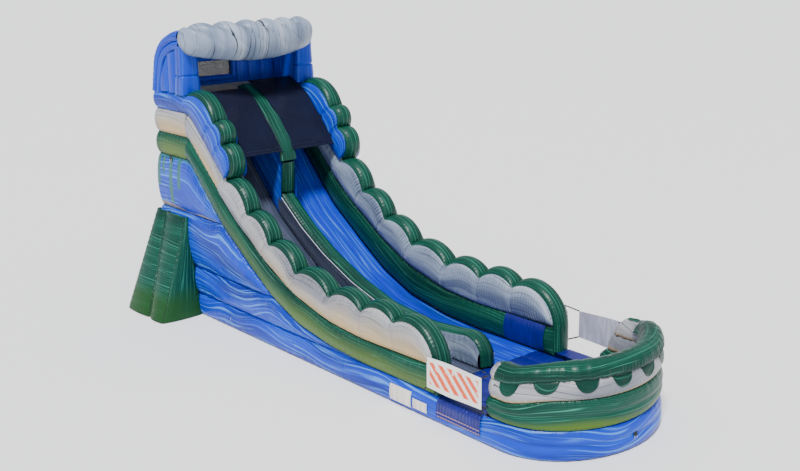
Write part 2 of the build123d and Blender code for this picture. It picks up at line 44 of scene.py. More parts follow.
# ---- driving sizes -------------------------------------------------------------------------
HALF = 1.69  # half the width over the side walls
WALL_IN = 1.265  # half the width between them
DIVIDER = 0.2  # half the width left between the two lanes
TOWER_BACK = 5.88
BACK_WALL = 5.43  # where the tower's back wall faces the platform
TOWER_FRONT = 4.45  # where the platform ends and the ramp starts
WALL_END = -3.32
CORNER = 0.12  # radius of the tower's upright corners

# Heights of the level seams: of the chambers under the platform, then of those above it.
BASE_TOP, FOOT_TOP, MIDDLE_TOP, PLATFORM = 0.465, 1.033, 2.19, 3.36
GREEN_TOP, GREY_TOP, BLUE_TOP = 3.843, 4.355, 4.755
FLOOR = 3.30  # top of the platform's floor
LANE_SINK = 0.06  # the lanes' top lies this far below the side walls' foot
PUFF = 0.075  # how far a side panel stands out of its seams
SEAM_X = HALF - PUFF  # half width at the outer side seams
SEAM_IN = WALL_IN + 0.035  # and at the inner ones
CAP_OUT, CAP_IN = 1.665, 1.285  # half widths at a cap's two seams
CAP_OVERHANG = 0.055  # how far a cap reaches down over both faces of its wall

# Side views, as (y, z). The ramp, and the walls' seams over it from the tower to the front.
RAMP = [(TOWER_BACK, PLATFORM), (TOWER_FRONT, PLATFORM), (3.307, MIDDLE_TOP), (2.988, 1.974),
        (2.272, 1.489), (1.546, FOOT_TOP), (0.699, 0.691), (-0.334, 0.520),
        (-1.274, BASE_TOP), (-2.3, BASE_TOP), (-3.26, BASE_TOP)]
GREY_LINE = [(TOWER_BACK, GREEN_TOP), (TOWER_FRONT, GREEN_TOP), (3.307, 2.829),
             (2.988, 2.542), (2.272, 2.074), (1.546, 1.623), (0.699, 1.240),
             (-0.334, 0.998), (-1.274, 0.931), (-2.167, 0.945), (-3.24, 0.972)]
BLUE_LINE = [(TOWER_BACK, GREY_TOP), (4.40, GREY_TOP), (3.480, 3.490), (3.240, 3.274),
             (2.988, 3.06)]
# The scallops meet in the valleys. The upper ones have crests of their own, and the rest
# rise by CREST. The last one ends in the round nose.
VALLEYS = [(2.988, 3.192), (2.272, 2.624), (1.546, 2.150), (0.699, 1.759),
           (-0.334, 1.540), (-1.274, 1.503), (-2.167, 1.531)]
UPPER_VALLEYS = [(TOWER_FRONT, BLUE_TOP), (3.365, 4.323), (3.088, 3.893), (2.955, 3.19)]
UPPER_CRESTS = [(3.80, 4.745), (3.10, 4.16), (2.79, 3.58)]
CREST = 0.165
NOSE = (-2.54, 0.90)
NOSE_RADIUS = 0.73
NET = [(3.128, 3.546), (3.481, 3.96), (4.114, 4.59), (4.44, 4.76)]
LANE_END = -3.9

POOL_START, POOL_CENTRE, POOL_DEPTH = -4.36, -4.745, 1.375
POOL_BASE_TOP, POOL_GREEN_TOP = 0.5, 1.01


# ---- curves --------------------------------------------------------------------------------
def lengths(curve):
    """How far along the curve each of its points lies."""
    steps = np.linalg.norm(np.diff(curve, axis=0), axis=1)
    return np.concatenate([[0.0], np.cumsum(steps)])


def resample(curve, count):
    """The same curve with count points, evenly spaced along it."""
    curve = np.asarray(curve, float)
    along = lengths(curve)
    places = np.linspace(0, along[-1], count)
    return np.stack([np.interp(places, along, axis) for axis in curve.T], axis=1)


def soften(points, blur=0.10, spacing=0.02):
    """A line through the points with its corners rounded over about the blur length."""
    curve = np.asarray(points, float)
    count = max(8, int(lengths(curve)[-1] / spacing))
    dense = resample(curve, count)
    reach = int(3 * blur / spacing)
    offsets = np.arange(-reach, reach + 1)
    weights = np.exp(-0.5 * (offsets * spacing / blur) ** 2)
    weights /= weights.sum()
    before = dense[0] + (dense[0] - dense[1]) * np.arange(reach, 0, -1)[:, None]
    after = dense[-1] + (dense[-1] - dense[-2]) * np.arange(1, reach + 1)[:, None]
    padded = np.concatenate([before, dense, after])
    return np.stack([np.convolve(axis, weights, "valid") for axis in padded.T], axis=1)


def arc(start, crest, end, count):
    """Points of the circle's arc from start through crest to end, in a plane."""
    (ax, ay), (bx, by), (cx, cy) = start, crest, end
    twice = 2 * (ax * (by - cy) + bx * (cy - ay) + cx * (ay - by))
    squares = [x * x + y * y for x, y in (start, crest, end)]
    centre = np.array([
        (squares[0] * (by - cy) + squares[1] * (cy - ay) + squares[2] * (ay - by)) / twice,
        (squares[0] * (cx - bx) + squares[1] * (ax - cx) + squares[2] * (bx - ax)) / twice])
    angles = [math.atan2(p[1] - centre[1], p[0] - centre[0]) for p in (start, crest, end)]
    turn = [(angle - angles[0] + math.pi) % (2 * math.pi) - math.pi for angle in angles]
    whole = turn[2] if turn[1] * turn[2] > 0 else turn[2] - math.copysign(2 * math.pi, turn[2])
    radius = math.hypot(*(np.array(start) - centre))
    sweep = angles[0] + np.linspace(0, 1, count) * whole
    return centre + radius * np.stack([np.cos(sweep), np.sin(sweep)], axis=1)


def crest_over(start, end, rise):
    """The point a rise above the middle of a falling chord, square to it."""
    start, end = np.array(start), np.array(end)
    along = (end - start) / np.linalg.norm(end - start)
    return (start + end) / 2 + rise * np.array([along[1], -along[0]])


def nearest_along(points, line):
    """For each point the nearest place on the line, never turning back."""
    gaps = np.linalg.norm(points[:, None] - line[None], axis=2)
    places = np.maximum.accumulate(gaps.argmin(axis=1)).astype(float)
    width = max(3, len(points) // 40)
    kernel = np.ones(width) / width
    padded = np.pad(places, width // 2, mode="edge")
    smooth = np.convolve(padded, kernel, "valid")[:len(points)]
    smooth[0], smooth[-1] = places[0], places[-1]
    index = np.arange(len(line))
    return np.stack([np.interp(smooth, index, axis) for axis in line.T], axis=1)


def lift(curve, x):
    """A side-view (y, z) curve at one x."""
    return np.column_stack([np.full(len(curve), x), curve])


def along_normal(curve):
    """Unit normals in the side view, to the upper side of a line that runs to the front."""
    tangent = np.gradient(curve, axis=0)
    tangent /= np.linalg.norm(tangent, axis=1)[:, None]
    return np.column_stack([np.zeros(len(curve)), tangent[:, 1], -tangent[:, 0]])


def wave(along, pitch, seed):
    """An uneven ripple along a seam, about -1 to 1."""
    phase = seed * 1.7
    wander = 0.9 * np.sin(along / (3.1 * pitch) + phase) + 0.7 * np.sin(
        along / (1.37 * pitch) + 2.1 * phase)
    height = 0.65 + 0.35 * np.sin(along / (2.3 * pitch) + 0.8 * phase)
    return height * np.sin(2 * math.pi * along / pitch + wander + phase)


# ---- skins ---------------------------------------------------------------------------------
class Skin:
    """Collects grids of points into one mesh with two UV maps: metres, and 0 to 1."""

    def __init__(self):
        self.points, self.faces, self.metres, self.across = [], [], [], []

    def grid(self, points, out, turned=False):
        """Adds a grid of points (columns, rows, 3), with its faces towards out."""
        columns, rows = points.shape[:2]
        start = sum(len(block) for block in self.points)
        index = start + np.arange(columns * rows).reshape(columns, rows)
        quads = np.stack([index[:-1, :-1], index[1:, :-1], index[1:, 1:], index[:-1, 1:]],
                         axis=-1).reshape(-1, 4)
        run = points[columns // 2 if columns > 2 else 1, rows // 2] - points[
            columns // 2 - 1, rows // 2]
        climb = points[columns // 2, rows // 2] - points[columns // 2, rows // 2 - 1]
        facing = np.asarray(out, float).reshape(-1, 3)
        if np.dot(np.cross(run, climb), facing[len(facing) // 2]) < 0:
            quads = quads[:, ::-1]
        along = lengths(points[:, rows // 2])
        over = lengths(points[columns // 2])
        u, v = np.meshgrid(along, over, indexing="ij")
        if turned:
            u, v = v, u
        share_u, share_v = np.meshgrid(np.linspace(0, 1, columns), over / max(over[-1], 1e-6),
                                       indexing="ij")
        self.points.append(points.reshape(-1, 3))
        self.faces.append(quads)
        self.metres.append(np.stack([u, v], axis=-1).reshape(-1, 2))
        self.across.append(np.stack([share_u, share_v], axis=-1).reshape(-1, 2))

    def panel(self, low, high, out, depth=PUFF, rows=25, fullness=0.75, groove=None,
              pucker=0.008, pitch=0.11, creases=(), seed=0.0, reach=0.07, turned=False):
        """A puffed panel between two seam lines. Creases are (column, depth, width in m),
        and a groove runs along its middle, as deep as a share of the puff at each column."""
        low, high = np.asarray(low, float), np.asarray(high, float)
        out = np.broadcast_to(np.asarray(out, float), low.shape)
        share = 0.5 - 0.5 * np.cos(np.linspace(0, math.pi, rows))
        share = 0.5 * share + 0.5 * np.linspace(0, 1, rows)
        base = low[:, None] * (1 - share)[None, :, None] + high[:, None] * share[None, :, None]
        width = np.linalg.norm(high - low, axis=1)
        dome = (1 - (2 * share - 1) ** 2) ** fullness
        depth = np.broadcast_to(np.asarray(depth, float), width.shape)
        rise = np.minimum(depth, 0.42 * width)[:, None] * dome[None]
        if groove is not None:
            notch = np.exp(-((share - 0.5) / 0.09) ** 2)
            rise = rise * (1 - groove[:, None] * notch[None])
        along = lengths(base[:, rows // 2])
        for column, strength, spread in creases:
            here = np.exp(-((along - along[column]) / spread) ** 2)[:, None]
            rise = rise * (1 - strength * here * (0.25 + 0.75 * share[None] ** 1.5))
        for start, edge in ((seed, share), (seed + 1.3, 1 - share)):
            gap = edge[None] * width[:, None]
            ripple = wave(along, pitch, start)[:, None]
            rise = rise + pucker * ripple * np.exp(-gap / reach) * (1 - np.exp(-gap / 0.02))
        points = base + out[:, None] * rise[..., None]
        self.grid(points, out, turned)
        return points

    def warp(self, change):
        """Moves the points collected so far by a function that edits them in place."""
        for block in self.points:
            change(block)

    def build(self, name, material, nodes=(), slot=None, body=ROOT):
        """Makes the object, which rides on a body and stands for CAD nodes."""
        mesh = bpy.data.meshes.new(name)
        points, faces = np.concatenate(self.points), np.concatenate(self.faces)
        mesh.from_pydata(points.tolist(), [], faces.tolist())
        for title, blocks in (("UVMap", self.metres), ("Across", self.across)):
            layer = mesh.uv_layers.new(name=title)
            values = np.concatenate(blocks)[faces.reshape(-1)]
            layer.data.foreach_set("uv", values.astype(np.float32).reshape(-1))
        mesh.shade_smooth()
        mesh.materials.append(material)
        piece = bpy.data.objects.new(name, mesh)
        bpy.context.scene.collection.objects.link(piece)
        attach(piece, body)
        if nodes:
            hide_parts(*nodes)
        return piece


def sheet_piece(name, points, out, *build, turned=False, body=ROOT):
    """A piece made of one grid of points."""
    skin = Skin()
    skin.grid(points, out, turned)
    return skin.build(name, *build, body=body)


# ---- materials -----------------------------------------------------------------------------
class Nodes:
    """A short way to write a material's node tree."""

    def __init__(self, name):
        self.material = bpy.data.materials.new(name)
        self.material.use_nodes = True
        self.tree = self.material.node_tree
        self.shader = self.tree.nodes["Principled BSDF"]

    def set(self, node, key, value):
        socket = node.inputs[key]
        if isinstance(value, bpy.types.NodeSocket):
            self.tree.links.new(value, socket)
        else:
            socket.default_value = value

    def add(self, kind, **sockets):
        node = self.tree.nodes.new(kind)
        for key, value in sockets.items():
            self.set(node, key.replace("_", " "), value)
        return node

    def math(self, operation, first, second=0.0):
        node = self.tree.nodes.new("ShaderNodeMath")
        node.operation = operation
        self.set(node, 0, first)
        self.set(node, 1, second)
        return node.outputs[0]

    def times(self, *values):
        product = values[0]
        for value in values[1:]:
            product = self.math("MULTIPLY", product, value)
        return product

    def fade(self, value, start, end):
        """0 at start, 1 at end, smooth between."""
        node = self.add("ShaderNodeMapRange", Value=value, From_Min=start, From_Max=end)
        node.interpolation_type = "SMOOTHSTEP"
        return node.outputs["Result"]

    def mix(self, share, first, second):
        node = self.tree.nodes.new("ShaderNodeMix")
        node.data_type = "RGBA"
        for index, value in ((0, share), (6, first), (7, second)):
            self.set(node, index, value)
        return node.outputs[2]

    def uv(self, name="UVMap", stretch=(1, 1), move=(0, 0)):
        source = self.tree.nodes.new("ShaderNodeUVMap")
        source.uv_map = name
        place = self.add("ShaderNodeMapping", Vector=source.outputs[0],
                         Scale=(*stretch, 1), Location=(*move, 0))
        return place.outputs[0]

    def object_place(self, stretch=(1, 1, 1)):
        source = self.tree.nodes.new("ShaderNodeTexCoord")
        place = self.add("ShaderNodeMapping", Vector=source.outputs["Object"], Scale=stretch)
        return place.outputs[0]

    def split(self, vector):
        node = self.add("ShaderNodeSeparateXYZ", Vector=vector)
        return node.outputs[0], node.outputs[1]

    def noise(self, vector, scale=1.0, detail=2.0, distortion=0.0):
        node = self.add("ShaderNodeTexNoise", Vector=vector, Scale=scale, Detail=detail,
                        Distortion=distortion)
        return node.outputs["Fac"]

    def bump(self, height, distance, normal=None):
        node = self.add("ShaderNodeBump", Height=height, Distance=distance)
        if normal is not None:
            self.set(node, "Normal", normal)
        return node.outputs["Normal"]


def shade(colour, factor):
    """The colour, lighter or darker by a factor."""
    return (*(min(1.0, channel * factor) for channel in colour[:3]), 1.0)


def vinyl(name, base, dark, light, streak, spacing, thick, tint=None, tint_from=0.5,
          tint_along=False, tint_ahead=None, veins=0.75, swathe=1.0, waviness=1.0,
          roughness=0.36, gathers=1.0, seed=0.0, drips=()):
    """Marbled coated vinyl: soft swathes, broken streaks along it, gathers at its seams,
    painted shade along both seams, and an optional tint from one edge.
    """
    n = Nodes(name)
    share_u, share_v = n.split(n.uv("Across"))
    u, v = n.split(n.uv())
    slow = n.noise(n.uv(stretch=(0.45, 0.5), move=(seed, seed)), 1.0, 1.0)
    bent = n.math("ADD", v, n.times(n.math("SUBTRACT", slow, 0.5), 0.75 * waviness))

    def flowing(along, across, shift, detail=1.5):
        place = n.add("ShaderNodeCombineXYZ", X=n.times(u, along), Y=n.times(bent, across),
                      Z=seed + shift)
        return n.noise(place.outputs[0], 1.0, detail, 0.25)

    def streaks(gap, half_width, shift):
        drift = n.times(flowing(0.30, 0.35 / gap, shift), 3.4)
        phase = n.math("ADD", n.times(bent, 1 / gap), drift)
        off = n.math("ABSOLUTE", n.math("SUBTRACT", n.math("FRACT", phase), 0.5))
        broken = n.fade(flowing(0.8, 0.5 / gap, shift + 3.0), 0.40, 0.60)
        return n.times(n.fade(off, half_width, half_width * 0.25), broken)

    patches = flowing(0.30, 2.4, 0.0, 2.5)
    colour = n.mix(n.fade(patches, 0.34, 0.54), dark, base)
    colour = n.mix(n.times(n.fade(patches, 0.54, 0.74), 0.7 * swathe), colour, light)
    colour = n.mix(n.times(streaks(spacing, thick, 2.0), veins), colour, streak)
    colour = n.mix(n.times(streaks(spacing * 0.42, thick, 9.0), 0.6 * veins), colour, streak)
    # A tint mixed in from the panel's low edge (its start, if tint_along) out to tint_from, and
    # only past tint_ahead if given. The olive, tan and fin tints stand partly for painted
    # bounce light from the grass below, partly for dirt.
    if tint is not None:
        share = share_u if tint_along else share_v
        edge = n.math("ADD", share, n.times(n.math("SUBTRACT", slow, 0.5), 0.7))
        amount = n.times(n.fade(edge, tint_from, 0.08), 0.9)
        if tint_ahead is not None:
            amount = n.times(amount, n.fade(share_u, *tint_ahead))
        colour = n.mix(amount, colour, tint)
    if drips:
        down = n.math("SUBTRACT", 1.0, share_v)
        paint = n.times(n.fade(down, 0.09, 0.02), 0.8)
        for place, length, half_width in drips:
            gap = n.math("ABSOLUTE", n.math("SUBTRACT", u, place))
            side = n.fade(gap, half_width, half_width * 0.7)
            tip = n.math("ADD", down, n.times(gap, gap, 0.06 / half_width ** 2))
            end = n.fade(tip, length, length * 0.94)
            paint = n.math("MAXIMUM", paint, n.times(side, end, 0.85))
        colour = n.mix(paint, colour, DRIP_GREEN)
    # Painted shade: the colour darkens towards both seams. It stands in for the shade in the
    # creases between chambers.
    near = n.math("MINIMUM", share_v, n.math("SUBTRACT", 1.0, share_v))
    colour = n.mix(n.times(n.fade(near, 0.035, 0.0), 0.6), colour, shade(dark, 0.4))
    n.set(n.shader, "Base Color", colour)
    n.shader.inputs["Roughness"].default_value = roughness
    n.shader.inputs["Specular IOR Level"].default_value = 0.22
    tucks = n.times(n.noise(n.uv(stretch=(15.0, 1.2)), 1.0, 2.0, 0.3), n.fade(near, 0.34, 0))
    slack = n.noise(n.uv(stretch=(1.8, 3.0), move=(5.0, seed)), 1.6, 2.0, 0.8)
    first = n.bump(tucks, 0.030 * gathers)
    n.set(n.shader, "Normal", n.bump(slack, 0.012, first))
    return n.material


def plain_vinyl(name, colour, folds=1.0, roughness=0.38, pitch=12.0):
    """Unprinted coated vinyl with soft folds across the panel."""
    n = Nodes(name)
    fold = n.noise(n.uv(stretch=(pitch, 2.0)), 1.0, 3.0, 0.6)
    weave = n.noise(n.uv(), 140.0, 1.0)
    n.set(n.shader, "Base Color", n.mix(n.fade(fold, 0.3, 0.75), shade(colour, 0.8),
                                        shade(colour, 1.15)))
    n.shader.inputs["Roughness"].default_value = roughness
    n.set(n.shader, "Normal", n.bump(weave, 0.0008, n.bump(fold, 0.02 * folds)))
    return n.material


def mesh_cloth(name, colour, pitch):
    """Knitted safety mesh: small holes between matt threads."""
    n = Nodes(name)
    place = n.uv(stretch=(1 / pitch, 1 / pitch))
    cells = n.add("ShaderNodeTexVoronoi", Vector=place, Randomness=0.15)
    hole = n.fade(cells.outputs["Distance"], 0.22, 0.15)
    broad = n.noise(n.uv(stretch=(1.2, 1.2)), 1.5, 3.0, 0.5)
    n.set(n.shader, "Base Color", n.mix(broad, shade(colour, 0.6), shade(colour, 1.6)))
    n.set(n.shader, "Alpha", n.math("SUBTRACT", 1.0, n.times(hole, 0.7)))
    n.shader.inputs["Roughness"].default_value = 0.85
    n.shader.inputs["Specular IOR Level"].default_value = 0.15
    n.set(n.shader, "Normal", n.bump(cells.outputs["Distance"], 0.002))
    return n.material


def webbing(name, colour, stitch=None, on_cad=False):
    """Woven strap with a diagonal twill, and rows of stitches near its edges."""
    n = Nodes(name)
    place = n.object_place() if on_cad else n.uv()
    ribs = n.add("ShaderNodeTexWave", Vector=place, Scale=160.0)
    ribs.bands_direction = "DIAGONAL"
    paint = n.mix(ribs.outputs["Fac"], shade(colour, 0.6), colour)
    if stitch is not None:
        along, _ = n.split(n.uv())
        _, share = n.split(n.uv("Across"))
        near = n.math("MINIMUM", share, n.math("SUBTRACT", 1.0, share))
        row = n.fade(n.math("ABSOLUTE", n.math("SUBTRACT", near, 0.20)), 0.13, 0.09)
        dash = n.fade(n.math("FRACT", n.times(along, 28.0)), 0.25, 0.35)
        paint = n.mix(n.times(row, dash, 0.9), paint, stitch)
    n.set(n.shader, "Base Color", paint)
    n.shader.inputs["Roughness"].default_value = 0.8
    n.set(n.shader, "Normal", n.bump(ribs.outputs["Fac"], 0.0008))
    return n.material


def solid_stuff(name, colour, metallic, roughness, grain):
    """Metal or moulded plastic for the small fittings."""
    n = Nodes(name)
    wear = n.noise(n.object_place(), grain, 4.0, 0.3)
    n.set(n.shader, "Base Color", n.mix(wear, shade(colour, 0.75), shade(colour, 1.2)))
    n.shader.inputs["Metallic"].default_value = metallic
    n.set(n.shader, "Roughness", n.math("ADD", n.times(wear, 0.25), roughness))
    n.set(n.shader, "Normal", n.bump(wear, 0.0004))
    return n.material


def hazard_vinyl(name):
    """White banner vinyl with orange diagonal stripes inside a plain margin."""
    n = Nodes(name)
    u, v = n.split(n.uv())
    share_u, share_v = n.split(n.uv("Across"))
    diagonal = n.math("FRACT", n.times(n.math("ADD", u, v), 4.6))
    stripe = n.times(n.fade(diagonal, 0.42, 0.45), n.fade(diagonal, 1.0, 0.97))
    ends = n.times(n.fade(share_u, 0.05, 0.06), n.fade(share_u, 0.95, 0.94))
    sides = n.times(n.fade(share_v, 0.13, 0.15), n.fade(share_v, 0.87, 0.85))
    worn = n.fade(n.noise(n.uv(), 9.0, 5.0, 0.5), 0.30, 0.42)
    n.set(n.shader, "Base Color", n.mix(n.times(stripe, ends, sides, worn),
                                        (0.80, 0.80, 0.78, 1), (0.82, 0.085, 0.01, 1)))
    n.shader.inputs["Roughness"].default_value = 0.45
    folds = n.noise(n.uv(stretch=(2.0, 5.0)), 2.0, 2.0, 0.5)
    n.set(n.shader, "Normal", n.bump(folds, 0.012))
    return n.material


BLUE = dict(base=(0.003, 0.040, 0.50, 1), dark=(0.002, 0.018, 0.27, 1),
            light=(0.014, 0.105, 0.66, 1), streak=(0.085, 0.30, 0.80, 1), spacing=0.17,
            thick=0.16)
GREEN = dict(base=(0.002, 0.052, 0.034, 1), dark=(0.001, 0.028, 0.020, 1),
             light=(0.004, 0.078, 0.049, 1), streak=(0.07, 0.34, 0.23, 1), spacing=0.08,
             thick=0.075)
GREY = dict(base=(0.36, 0.37, 0.39, 1), dark=(0.20, 0.21, 0.25, 1),
            light=(0.50, 0.50, 0.51, 1), streak=(0.05, 0.045, 0.055, 1), spacing=0.10,
            thick=0.07)
SHADED = dict(base=(0.25, 0.31, 0.42, 1), dark=(0.14, 0.18, 0.27, 1),
              light=(0.52, 0.57, 0.64, 1), streak=(0.025, 0.03, 0.05, 1), spacing=0.10,
              thick=0.07)
# This dark grey-blue palette is painted shadow. It colours the climbing lane, its bolsters and
# the back of the lower divider's sides, which lie in shade.
SHADOW_SLATE = dict(base=(0.040, 0.050, 0.085, 1), dark=(0.02, 0.026, 0.05, 1),
             light=(0.075, 0.09, 0.135, 1), streak=(0.15, 0.18, 0.26, 1), spacing=0.12,
             thick=0.06)
# OLIVE and TAN tint the lower parts of the green and grey bands. They are partly painted bounce
# light from the grass below, partly dirt.
OLIVE = (0.085, 0.16, 0.008, 1)
TAN = (0.56, 0.40, 0.18, 1)
DRIP_GREEN = (0.030, 0.150, 0.065, 1)
PALE_STITCH = (0.75, 0.78, 0.82, 1)

# Place along the band, length as a share of its height, and half width.
DRIPS = [(0.60, 0.60, 0.075), (0.79, 0.37, 0.065), (1.10, 0.90, 0.085), (1.44, 0.60, 0.080)]

blue_side = vinyl("blue_side", **BLUE, waviness=1.4)
blue_base = vinyl("blue_base", **BLUE, gathers=0.4, seed=2.0)
blue_drip = vinyl("blue_drip", **BLUE, tint=(0.30, 0.26, 0.24, 1), tint_from=0.12,
                  seed=4.0, drips=DRIPS)
blue_lane = vinyl("blue_lane", **{**BLUE, "base": (0.004, 0.030, 0.50, 1)}, waviness=0.3,
                  swathe=0.6, veins=0.5, gathers=0.3, seed=3.0)
# Painted shadow: dark grey-blue copies for the climbing lane and for the sides in its trough.
lane_shadow = vinyl("lane_shadow", **SHADOW_SLATE, waviness=0.3, gathers=0.3, seed=9.0)
side_shadow = vinyl("side_shadow", **SHADOW_SLATE, waviness=0.6, seed=8.0)
blue_hood = vinyl("blue_hood", **BLUE, waviness=0.35, veins=0.28, swathe=0.7, gathers=0.35,
                  seed=1.0)
green_cap = vinyl("green_cap", **GREEN, waviness=0.12, gathers=0.25)
# The olive tint near the ground in front is partly painted bounce light from the grass, partly
# dirt.
green_band = vinyl("green_band", **GREEN, tint=OLIVE, tint_from=0.90,
                   tint_ahead=(0.10, 0.50), waviness=0.4, veins=0.6)
green_inside = vinyl("green_inside", **GREEN, waviness=0.4, veins=0.55, seed=2.5)
green_plain = vinyl("green_plain", **GREEN, waviness=0.3, veins=0.6, seed=5.0)
# The pool's olive tint towards the ground is partly painted bounce light from the grass, partly
# dirt.
green_pool = vinyl("green_pool", **GREEN, tint=OLIVE, tint_from=0.42, waviness=0.4,
                   veins=0.6, seed=3.5)
# The fins' yellower green near the ground is partly painted bounce light from the grass, partly
# dirt.
green_fin = vinyl("green_fin", **GREEN, tint=(0.010, 0.060, 0.012, 1), tint_from=0.26,
                  tint_along=True, waviness=0.15, gathers=0.5)
# The tan tints towards the lower edges are partly painted reflection of the ground, partly
# dirt.
grey_band = vinyl("grey_band", **GREY, tint=TAN, tint_from=0.85, tint_ahead=(0.12, 0.45),
                  veins=1.0, gathers=2.0)
grey_pool = vinyl("grey_pool", **GREY, tint=TAN, tint_from=0.32, veins=0.9, seed=6.5)
grey_inside = vinyl("grey_inside", **SHADED, veins=0.9, gathers=1.6, seed=6.0)
grey_crown = vinyl("grey_crown", **{**SHADED, "spacing": 0.13, "thick": 0.08}, veins=1.0,
                   waviness=0.6, gathers=0.0, seed=7.0)
deep_blue = plain_vinyl("deep_blue", (0.004, 0.007, 0.17, 1))
pale_vinyl = plain_vinyl("pale_vinyl", (0.74, 0.72, 0.66, 1), folds=0.2)
lilac_vinyl = plain_vinyl("lilac_vinyl", (0.50, 0.50, 0.62, 1), folds=0.4)
hazard = hazard_vinyl("hazard")
navy_mesh = mesh_cloth("navy_mesh", (0.004, 0.006, 0.022, 1), 0.012)
grey_mesh = mesh_cloth("grey_mesh", (0.03, 0.033, 0.045, 1), 0.012)
black_webbing = webbing("black_webbing", (0.015, 0.015, 0.017, 1))
blue_hem = webbing("blue_hem", (0.006, 0.010, 0.24, 1), stitch=(0.40, 0.26, 0.26, 1))
hem_webbing = webbing("hem_webbing", (0.012, 0.016, 0.04, 1), stitch=PALE_STITCH)
cad_webbing = webbing("cad_webbing", (0.015, 0.015, 0.017, 1), on_cad=True)
steel = solid_stuff("steel", (0.55, 0.56, 0.58, 1), 1.0, 0.28, 60.0)
dark_plastic = solid_stuff("dark_plastic", (0.03, 0.03, 0.035, 1), 0.0, 0.45, 90.0)


# ---- side walls ----------------------------------------------------------------------------
ARC_POINTS = 90


def cap_seam():
    """The caps' side seam from the tower to the ground, and the columns of its valleys."""
    parts, valleys = [], [0]
    for index, crest in enumerate(UPPER_CRESTS):
        parts.append(arc(UPPER_VALLEYS[index], crest, UPPER_VALLEYS[index + 1],
                         ARC_POINTS)[:-1])
        valleys.append(valleys[-1] + ARC_POINTS - 1)
    upper = valleys[-1]
    for start, end in zip(VALLEYS, VALLEYS[1:]):
        parts.append(arc(start, crest_over(start, end, CREST), end, ARC_POINTS)[:-1])
        valleys.append(valleys[-1] + ARC_POINTS - 1)
    angles = np.radians(np.linspace(84, 4, 70))
    nose = np.stack([NOSE[0] - NOSE_RADIUS * np.cos(angles),
                     NOSE[1] + NOSE_RADIUS * np.sin(angles)], axis=1)
    start = VALLEYS[-1]
    hump = arc(start, (-2.33, 1.60), tuple(nose[0]), 24)[:-1]
    foot = np.array([(NOSE[0] - NOSE_RADIUS, z) for z in np.linspace(0.93, 0.475, 30)])
    last = resample(np.concatenate([hump, nose, foot]), 170)
    parts.append(last)
    return np.concatenate(parts), valleys, upper


SEAM, SEAM_VALLEYS, UPPER_END = cap_seam()
SOFT_RAMP, SOFT_GREY, SOFT_BLUE = (soften(line) for line in (RAMP, GREY_LINE, BLUE_LINE))


def tower_wrap(side, seam_x, z, end_y=TOWER_FRONT, count=80):
    """A level line from the back face round the corner and along the side, with its normal."""
    seam_y = TOWER_BACK - PUFF
    turn = np.radians(np.linspace(90, 0, 12))
    bend = np.stack([seam_x - CORNER + CORNER * np.cos(turn),
                     seam_y - CORNER + CORNER * np.sin(turn)], axis=1)
    plan = resample(np.concatenate([[(WALL_IN, seam_y)], bend, [(seam_x, end_y)]]), count)
    tangent = np.gradient(plan, axis=0)
    normal = np.stack([-tangent[:, 1], tangent[:, 0]], axis=1)
    normal /= np.linalg.norm(normal, axis=1)[:, None]
    line = np.column_stack([side * plan[:, 0], plan[:, 1], np.full(count, z)])
    out = np.column_stack([side * normal[:, 0], normal[:, 1], np.zeros(count)])
    return line, out


def below(line, y):
    """The part of a falling line in front of y."""
    return line[line[:, 0] <= y]


def closing(curve, reach=0.16):
    """1 along a line, falling to 0 over its last stretch."""
    left = lengths(curve)[-1] - lengths(curve)
    return np.clip(left / reach, 0, 1) ** 0.5


